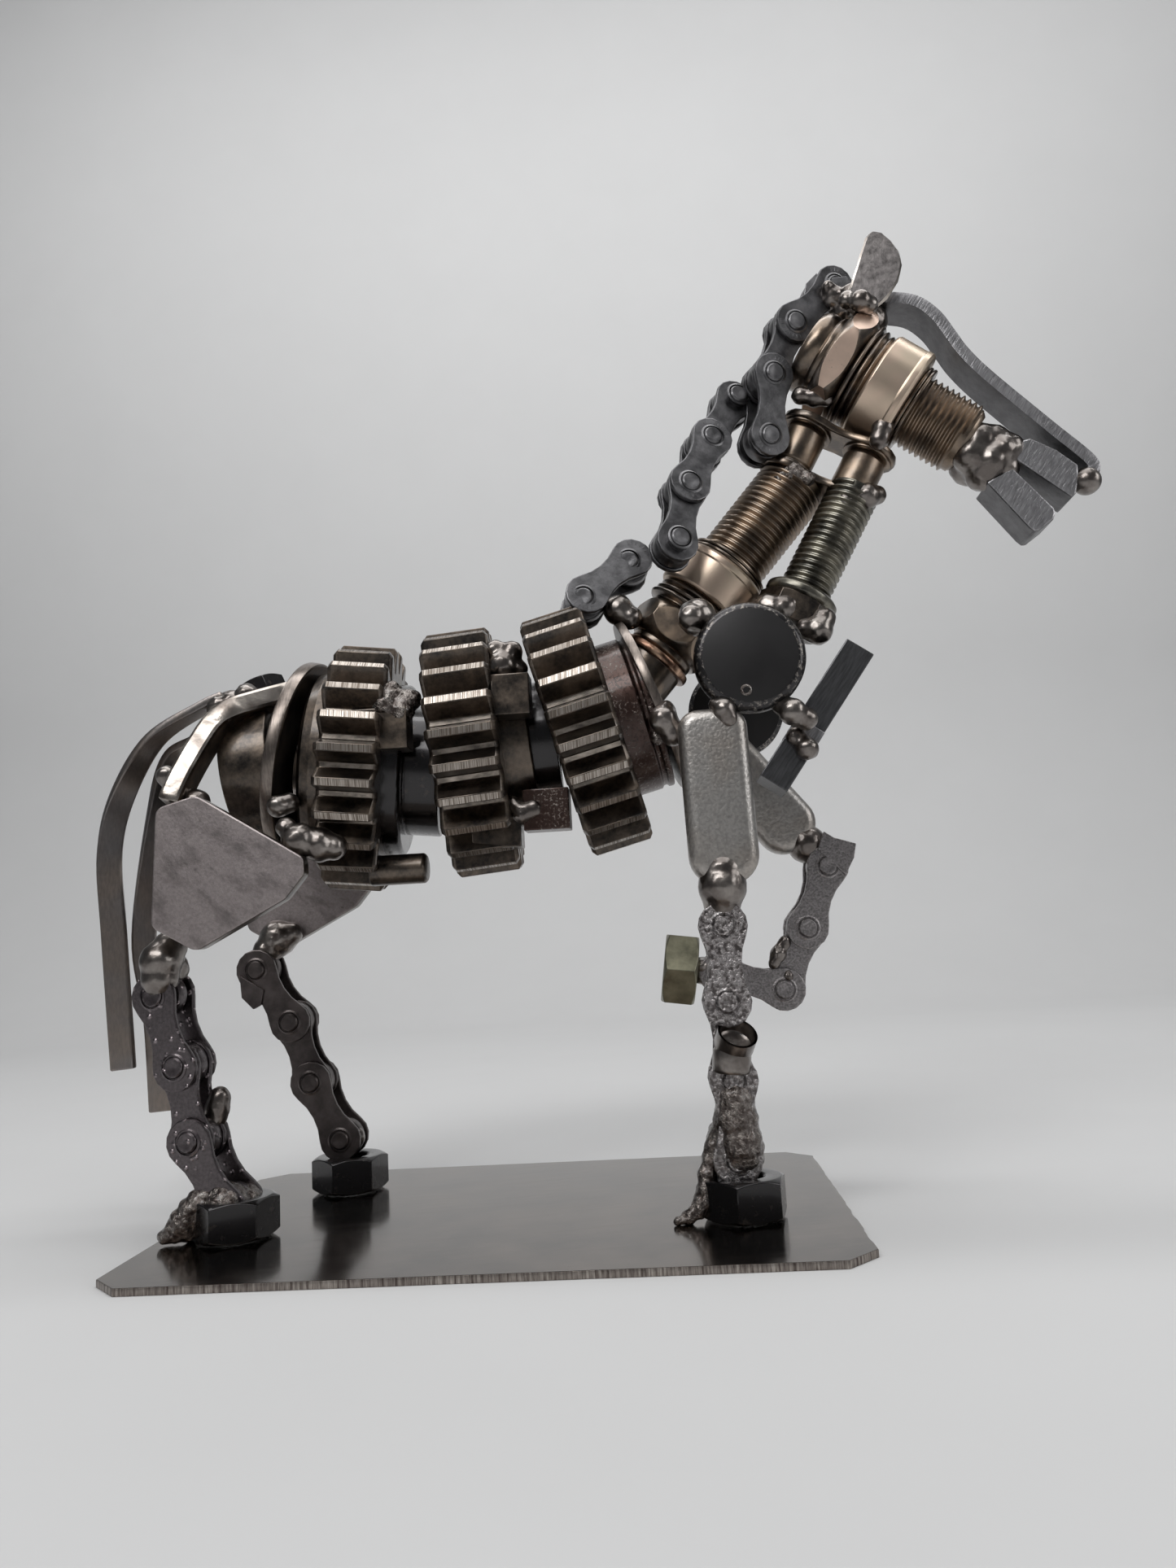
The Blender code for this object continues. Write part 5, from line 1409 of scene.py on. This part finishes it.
def pin_way(pins):
    """The way a chain's pins lie: square to its first link and its last."""
    across = (pins[1] - pins[0]).cross(pins[-1] - pins[-2]).normalized()
    return across if across.y > 0 else -across


def make_mane():
    crest = pins_along(body(71.6, 4.5, 128.2), (-8.6, -2.7, -8.6), (-5.3, -2.0, -11.3), (-1.7, 0, -12.6))
    mane = pins_along(body(50.6, MIDDLE_Y, 105.5), (-6.0, -4.5, -10.4), (-5.2, -4.5, -11.0),
                      (-2.8, -3.5, -12.0))
    withers = pins_along(body(28.3, 3.0, 73.6), (-8.9, -4.2, -8.0))
    for name, pins, side, outer in (("crest_chain", crest, pin_way(crest), True),
                                    ("mane_chain", mane, pin_way(mane), False),
                                    ("withers_chain", withers, Y, True)):
        piece = Scrap(name + "_links", "worn")
        run_of_chain(piece, pins, side, "worn", outer, marks=True)
        if name == "crest_chain":
            jag = [(65.9, 124.4), (66.9, 128.3), (69.2, 130.4), (69.6, 128.1), (71.2, 129.0), (75.0, 129.1),
                   (75.6, 126.8), (74.6, 124.6), (70.6, 123.6)]
            torn_plate(piece, jag, 1.0, 1.2, "worn")
        piece.done("chain_steel", name)


def make_legs():
    pins = leg_pins()
    finishes = {"hind_near": "beaded", "hind_far": "dull", "fore_near": "spattered", "fore_far": "frosted"}
    for name, finish in finishes.items():
        piece = Scrap(name + "_chain", finish, "weld")
        side = Y + X * 0.15 if name == "hind_near" else Y
        run_of_chain(piece, getattr(pins, name), side, finish, missing=(1,) if name == "fore_near" else ())
        if name == "fore_near":
            half_roller(piece)
        elif name == "fore_far":
            torn_plate(piece, [(61.5, 16.8), (63.0, 20.2), (64.8, 18.9), (69.0, 17.5), (68.4, 14.8),
                               (66.5, 11.5)], 12.6,
                       1.0, finish)
        elif name == "hind_far":
            torn_plate(piece, [(-55.6, -1.5), (-55.2, -6.0), (-52.8, -8.4), (-51.2, -7.6), (-50.6, -4.6)],
                       16.9, 1.0, finish)
        piece.done("chain_steel", name + "_leg")


def half_roller(piece):
    """The bare roller of the near foreleg, and the torn one that stands off it, open to the front."""
    barrel = turned([(0, 2.2), (2.7, 2.2), (3.2, 1.7), (3.2, -1.4), (2.9, -2.0), (0, -2.0)], 44, 0.15)
    piece.add(barrel, pose(Vector((40.3, -16.4, 26.8)), Z + X * 0.1), "weld")
    cup = turned([(3.35, 1.6), (3.35, -1.2), (2.4, -1.8), (0, -1.9), (0, -1.2), (2.3, -1.1), (2.95, -0.7),
                  (2.95, 1.6)],
                 44, 0.1)
    piece.add(cup, pose(Vector((41.1, -17.2, 30.2)), Vector((0.25, -0.62, 0.75))), "weld")


def make_welds():
    """Weld beads where one piece meets the next."""
    barrel = barrel_places()
    pins = leg_pins()
    thread_end = head_place()[0]
    throat = throat_places()
    shoulder = shoulder_places()

    def bead(name, at, *blobs, finish="weld", rough=0.12):
        """A weld bead of balls at (x, y, z, radius) from a point."""
        balls = [(at + Vector(ball[:3]), ball[3]) for ball in blobs]
        single(name, (finish,), lumps(balls, rough), Matrix.Identity(4), "dark_steel")

    for hand, name in ((-1, "near"), (1, "far")):
        thigh = body(0, MIDDLE_Y + hand * 20, 0)
        bead(name + "_thigh_weld", thigh, (-31.8, 0, 21.6, 3.0), (-28.6, -hand, 20.8, 2.9),
             (-26.4, -2 * hand, 20.4, 2.3), (-34.5, -hand, 24.2, 1.8))
        bead(name + "_hip_weld", thigh, (-36.2, -2 * hand, 28.2, 2.0), (-34.6, -3 * hand, 28.8, 1.8),
             rough=0.05)
        bead(name + "_rump_weld", body(-50.6, MIDDLE_Y + hand * 19, 29.6), (0, 0, 0, 2.3),
             (-3.4, 0, 2.6, 2.3), (-5.0, hand, 5.0, 1.8))

    hind = pins.hind_near[0]
    bead("hind_near_top_weld", hind, (0.4, -2.0, 6.0, 3.4), (0.3, -2.2, 2.9, 3.0), (1.5, -1.0, 8.2, 2.8),
         (0.5, 1.5, 4.5, 3.0), rough=0.08)
    bead("hind_near_back_weld", pins.hind_near[2], (2.8, 2.2, 6.4, 1.9), (2.4, 2.2, 4.6, 2.1),
         (2.2, 2.0, 3.0, 1.9))
    bead("hind_near_foot_weld", pins.hind_near[-1], (-0.4, -1.8, 0.6, 3.4), (-3.0, -1.6, -0.4, 2.8),
         (1.8, 1.0, 0.2, 2.8),
         (-4.6, -2.0, 1.2, 2.4), (-6.2, -2.6, -0.2, 2.3), (-7.6, -3.0, -1.8, 2.2), (-8.8, -3.2, -3.2, 1.8),
         (-10.6, -3.4, -4.0, 1.2), (-5.2, -1.4, -1.6, 2.4), (-6.6, -1.8, -3.2, 2.1),
         (4.0, -2.6, -0.6, 1.8), (0.6, -3.8, -0.9, 1.8), finish="crust", rough=0.3)
    bead("hind_far_top_weld", pins.hind_far[0], (3.0, 1.5, 6.2, 3.6), (1.0, 0.5, 3.6, 2.8),
         (5.6, 1.5, 7.0, 2.4))
    bead("hind_far_foot_weld", pins.hind_far[-1], (-0.4, 0, 0.6, 3.2), (2.2, -0.6, 0.0, 2.0),
         (-2.8, 0, 0.4, 1.8))
    bead("fore_near_top_weld", pins.fore_near[0], (0.6, -1.4, 9.0, 3.7), (0.4, -1.8, 6.6, 3.9),
         (0.2, -0.8, 3.6, 3.0))
    bead("fore_near_foot_weld", pins.fore_near[-1], (0.3, -1.3, 6.5, 3.5), (0.8, -1.4, 2.5, 3.5),
         (-1.0, 0.4, 3.0, 3.4),
         (0.3, -1.6, 9.5, 3.1), (0.8, -1.0, 0.5, 3.4), (-2.6, -0.4, 3.6, 1.9), (-3.6, -0.8, 1.8, 1.7),
         (-4.4, -1.0, -0.2, 1.6),
         (-5.0, -1.4, -2.2, 1.6), (-5.4, -1.6, -4.2, 1.6), (-5.8, -2.0, -6.0, 1.6), (-6.8, -2.4, -7.6, 1.5),
         (-8.6, -2.8, -8.6, 1.2), (-10.6, -3.2, -9.0, 0.8), finish="crust", rough=0.3)
    bead("fore_far_top_weld", pins.fore_far[0], (-3.2, 0, 4.6, 3.6), (-5.4, 0, 6.2, 2.6))
    bead("fore_far_knee_weld", pins.fore_far[2], (0.9, -3.0, 2.6, 1.2), (-0.6, -2.8, 6.8, 1.6),
         (0.8, -2.8, 9.0, 1.3), (-1.6, -2.9, 5.0, 1.2), rough=0.25)
    bead("fore_far_heel_weld", pins.fore_far[-1], (-3.2, 0, 0.6, 2.6), (-3.4, -2.6, 1.6, 1.4))

    bead("middle_dog_weld", barrel.middle_at, (8.0, -13.2, 13.4, 2.6), (9.6, -12.8, 16.0, 2.0),
         (6.6, -12.6, 16.6, 1.9), (11.0, -12.4, 12.8, 1.5))
    bead("low_dog_weld", barrel.middle_at, (10.0, -10.6, -13.6, 2.3), (8.4, -10.8, -12.0, 1.6),
         (12.0, -10.6, -13.0, 2.0))
    bead("rear_dog_weld", barrel.rear_at, (8.4, -16.6, 8.6, 2.3), (11.0, -16.2, 7.0, 2.3),
         (12.6, -15.0, 9.6, 1.9), (9.4, -15.6, 11.4, 1.7), finish="crust", rough=0.3)
    bead("hub_weld", barrel.front_at, (13.6, -12.4, -2.0, 1.7), (13.4, -13.0, -4.6, 1.3), finish="crust",
         rough=0.2)
    bead("withers_weld", body(25.8, 0, 64.0), (0, 0, 0, 2.8), (2.2, -0.4, -1.8, 2.2))
    bead("washer_weld", body(32.8, -13.2, 39.4), (0, 0, 0, 2.5), (1.6, 0.6, -2.4, 2.2), (0.6, 0.8, 2.0, 1.6))

    disc = shoulder.near_disc
    bead("disc_bar_weld", disc, (-5.2, -1.6, -9.2, 2.0), (-4.4, -1.6, -11.0, 1.5), (-6.4, -0.8, -8.2, 1.4),
         rough=0.06)
    bead("disc_collar_weld", disc, (-9.6, 0.6, 8.2, 2.2), (-8.4, 3.0, 8.8, 3.2), (-7.6, 6.0, 9.4, 2.8))
    bead("disc_chest_weld", disc, (6.6, -0.6, -10.2, 2.3), (9.0, 0.6, -11.4, 2.0), (5.0, 0.6, -8.6, 1.8),
         rough=0.06)
    bead("chest_mid_weld", body(57.4, -8.6, 32.6), (0, -4.6, 0, 2.0), (-1.6, -3.8, 2.4, 1.8))
    bead("chest_top_weld", body(62.2, -6.0, 55.6), (0, 0, 0, 2.6), (1.4, 0.2, 2.2, 2.0),
         (-2.2, 0.6, 0.6, 1.9))
    bead("screw_foot_weld", body(56.4, -4.0, 60.6), (0, 0, 0, 2.8), (-2.6, 1.0, 0.8, 2.6),
         (2.6, 0.4, 1.4, 2.0))

    bead("screw_top_weld", throat.bolt_top, (2.6, -2.4, -0.6, 2.4), (4.6, -1.6, -0.2, 1.8),
         (-1.6, -2.8, -1.6, 1.8))
    bead("neck_top_weld", throat.neck_top, (-0.6, -5.6, 0.4, 1.9), (1.8, -5.8, -1.4, 1.6),
         (-3.2, -4.4, -0.8, 1.8), finish="crust", rough=0.25)
    bead("head_foot_weld", throat.middle, (9.8, -6.4, 3.4, 2.0), (10.2, -6.2, 5.8, 1.8),
         (10.9, -5.6, 8.0, 1.6), (9.0, -6.2, 1.4, 1.9))
    bead("head_heel_weld", throat.middle, (-2.2, -5.0, 11.6, 1.9), (-4.8, -4.6, 12.4, 1.7),
         (0.2, -5.4, 10.8, 1.4))

    bead("jaw_weld", thread_end, (1.2, -1.6, -1.2, 3.9), (4.0, -2.0, -1.0, 3.1), (3.2, -1.6, -4.2, 3.3),
         (1.6, -1.4, -6.8, 3.2), (6.8, -2.4, -2.6, 2.6), (4.4, 2.2, -4.0, 3.8), (0.6, 2.2, -3.4, 3.8),
         (8.6, -1.0, -2.8, 2.2),
         (5.0, -3.0, -3.4, 3.0), (2.6, -2.8, -5.4, 3.2), (5.8, -1.6, -6.4, 2.6), (-0.6, -2.4, -3.6, 3.2))
    nose = body(115.7, thread_end.y - 2.5, 82.4)
    bead("nose_weld", nose, (0, 0, 0, 2.5), (-0.8, 1.6, 0.8, 2.0), rough=0.04)

    crown = body(0, thread_end.y, 0)
    bead("near_ear_weld", crown, (75.6, -8.2, 119.6, 2.0), (77.4, -6.8, 119.4, 1.8),
         (73.6, -6.2, 121.2, 1.7), rough=0.05)
    bead("far_ear_weld", crown, (76.0, 6.8, 119.6, 2.1), (78.0, 5.0, 119.4, 1.8))
    bead("crown_weld", crown, (78.6, 0, 119.8, 3.6), (74.8, 0, 122.6, 3.0), (72.0, -1.0, 125.0, 2.3),
         (75.2, -3.0, 124.6, 1.8), (70.8, -2.6, 126.6, 1.2), rough=0.2)
    bead("stud_weld", body(-51.0, 2.5, 51.2), (0, 0, 0, 2.8), (-2.4, -0.6, -0.4, 2.3), (2.4, 0.4, 0.6, 2.2),
         (4.6, -4.6, 0.6, 2.2), (0.6, 4.0, 0.2, 2.4), rough=0.25)


def smooth_backdrop(studio):
    """A floor that sweeps up well behind the horse."""
    bm = bmesh.new()
    curve = arc((SWEEP_START, SWEEP_RADIUS), SWEEP_RADIUS, -90, 0, 15)
    profile = [(-BACKDROP_REACH, 0), *curve, (SWEEP_START + SWEEP_RADIUS, BACKDROP_REACH)]
    verts = [bm.verts.new((-BACKDROP_REACH, y, z)) for y, z in profile]
    edges = [bm.edges.new(pair) for pair in pairwise(verts)]
    swept = bmesh.ops.extrude_edge_only(bm, edges=edges)["geom"]
    move_corners(bm, swept, X * 2 * BACKDROP_REACH)
    bmesh.ops.recalc_face_normals(bm, faces=bm.faces)
    bmesh.ops.scale(bm, vec=(MM, MM, MM), verts=bm.verts)
    for face in bm.faces:
        face.smooth = True
    floor = as_object(bm, "floor")
    paper = Metal("studio floor", coat=0, metallic=0)
    colour = paper.blend(paper.cloud(60, 3), shade(studio.floor, 0.97), shade(studio.floor, 1.02))
    floor.data.materials.append(paper.finish(colour, 0.8))


def soft_light(name, at, target, size, power):
    light = bpy.data.lights.new(name, "AREA")
    light.shape = "RECTANGLE"
    light.size, light.size_y = size[0] * MM, size[1] * MM
    light.energy = power
    lamp = bpy.data.objects.new(name, light)
    bpy.context.scene.collection.objects.link(lamp)
    lamp.matrix_world = pose(Vector(at) * MM, Vector(at) - Vector(target))


def make_stage():
    scene = bpy.context.scene
    studio = scene.horse_studio
    smooth_backdrop(studio)
    soft_light("overhead", (60, -140, 560), (20, 0, 60), (460, 360), studio.overhead)
    soft_light("front", (-180, -430, 470), (0, 60, 90), (420, 200), studio.front)
    soft_light("backdrop", (30, 150, 900), (30, 680, 350), (1300, 300), studio.backdrop)
    soft_light("side", (520, -200, 260), (30, 0, 90), (220, 320), studio.side)
    world = bpy.data.worlds.new("studio")
    world.use_nodes = True
    background = world.node_tree.nodes["Background"].inputs
    background["Color"].default_value = (0.85, 0.88, 0.92, 1)
    background["Strength"].default_value = studio.surround
    scene.world = world

    camera = bpy.data.cameras.new("camera")
    camera.sensor_fit = "VERTICAL"
    camera.sensor_height = SENSOR
    camera.lens = CAMERA_PIXELS * SENSOR / PHOTO_HEIGHT
    camera.clip_start = 0.005
    right = Vector((0.99641, 0.06461, -0.05476))
    forward = Vector((-0.05628, 0.98827, 0.14195))
    turn = Matrix((right, right.cross(forward), -forward)).transposed().to_4x4()
    holder = bpy.data.objects.new("camera", camera)
    holder.matrix_world = Matrix.Translation(Vector((29.62, -202.01, 47.82)) * MM) @ turn
    scene.collection.objects.link(holder)
    scene.camera = holder
    scene.view_settings.view_transform = "Standard"


# Add-on

class HORSE_OT_stand(bpy.types.Operator):
    """Makes the base plate and the hoof nuts"""

    bl_idname = "horse.stand"
    bl_label = "Base Plate and Hooves"

    def execute(self, context):
        make_base()
        make_hooves()
        return {"FINISHED"}


class HORSE_OT_barrel(bpy.types.Operator):
    """Makes the three gears and the washer"""

    bl_idname = "horse.barrel"
    bl_label = "Gear Barrel"

    def execute(self, context):
        make_barrel()
        return {"FINISHED"}


class HORSE_OT_hips(bpy.types.Operator):
    """Makes the rings, thigh plates, rump straps and rump nut"""

    bl_idname = "horse.hips"
    bl_label = "Hips"

    def execute(self, context):
        make_hips()
        return {"FINISHED"}


class HORSE_OT_tail(bpy.types.Operator):
    """Makes the two tail strips"""

    bl_idname = "horse.tail"
    bl_label = "Tail"

    def execute(self, context):
        make_tail()
        return {"FINISHED"}


class HORSE_OT_shoulders(bpy.types.Operator):
    """Makes the shoulder bars, the discs and the chest block"""

    bl_idname = "horse.shoulders"
    bl_label = "Shoulders and Chest"

    def execute(self, context):
        make_shoulders()
        return {"FINISHED"}


class HORSE_OT_neck(bpy.types.Operator):
    """Makes the neck plug, the neck bolt and the throat link"""

    bl_idname = "horse.neck"
    bl_label = "Neck"

    def execute(self, context):
        make_neck()
        return {"FINISHED"}


class HORSE_OT_head(bpy.types.Operator):
    """Makes the head plug, the jaws, the brow strap and the ears"""

    bl_idname = "horse.head"
    bl_label = "Head"

    def execute(self, context):
        make_head()
        return {"FINISHED"}


class HORSE_OT_mane(bpy.types.Operator):
    """Makes the three runs of chain of the mane"""

    bl_idname = "horse.mane"
    bl_label = "Mane"

    def execute(self, context):
        make_mane()
        return {"FINISHED"}


class HORSE_OT_legs(bpy.types.Operator):
    """Makes the four chain legs"""

    bl_idname = "horse.legs"
    bl_label = "Legs"

    def execute(self, context):
        make_legs()
        return {"FINISHED"}


class HORSE_OT_welds(bpy.types.Operator):
    """Lays the weld beads between the pieces"""

    bl_idname = "horse.welds"
    bl_label = "Welds"

    def execute(self, context):
        make_welds()
        return {"FINISHED"}


class HORSE_OT_stage(bpy.types.Operator):
    """Sets up the floor, the lights and the camera"""

    bl_idname = "horse.stage"
    bl_label = "Stage"

    def execute(self, context):
        make_stage()
        return {"FINISHED"}


class HORSE_PT_panel(bpy.types.Panel):
    """Lists the horse's sizes, colours and pieces"""

    bl_label = "Scrap Metal Horse"
    bl_idname = "HORSE_PT_panel"
    bl_space_type = "VIEW_3D"
    bl_region_type = "UI"
    bl_category = "Horse"

    def draw(self, context):
        layout = self.layout
        for name, group in SETTINGS.items():
            box = layout.box()
            for key in group.__annotations__:
                box.prop(getattr(context.scene, name), key)
        for operator in OPERATORS:
            layout.operator(operator.bl_idname)


SETTINGS = {"horse_stand": StandSizes, "horse_chain": ChainSizes, "horse_gears": GearSizes,
            "horse_plugs": PlugSizes, "horse_colours": MetalColours, "horse_studio": StudioSettings}
OPERATORS = (HORSE_OT_stand, HORSE_OT_barrel, HORSE_OT_hips, HORSE_OT_tail, HORSE_OT_shoulders, HORSE_OT_neck,
             HORSE_OT_head, HORSE_OT_mane, HORSE_OT_legs, HORSE_OT_welds, HORSE_OT_stage)


def register():
    for name, group in SETTINGS.items():
        bpy.utils.register_class(group)
        setattr(bpy.types.Scene, name, PointerProperty(type=group))
    for operator in OPERATORS:
        bpy.utils.register_class(operator)
    bpy.utils.register_class(HORSE_PT_panel)


def unregister():
    bpy.utils.unregister_class(HORSE_PT_panel)
    for operator in reversed(OPERATORS):
        bpy.utils.unregister_class(operator)
    for name, group in SETTINGS.items():
        delattr(bpy.types.Scene, name)
        bpy.utils.unregister_class(group)


def main():
    register()
    bpy.ops.horse.stand()
    bpy.ops.horse.barrel()
    bpy.ops.horse.hips()
    bpy.ops.horse.tail()
    bpy.ops.horse.shoulders()
    bpy.ops.horse.neck()
    bpy.ops.horse.head()
    bpy.ops.horse.mane()
    bpy.ops.horse.legs()
    bpy.ops.horse.welds()
    bpy.ops.horse.stage()


if __name__ == "__main__":
    main()
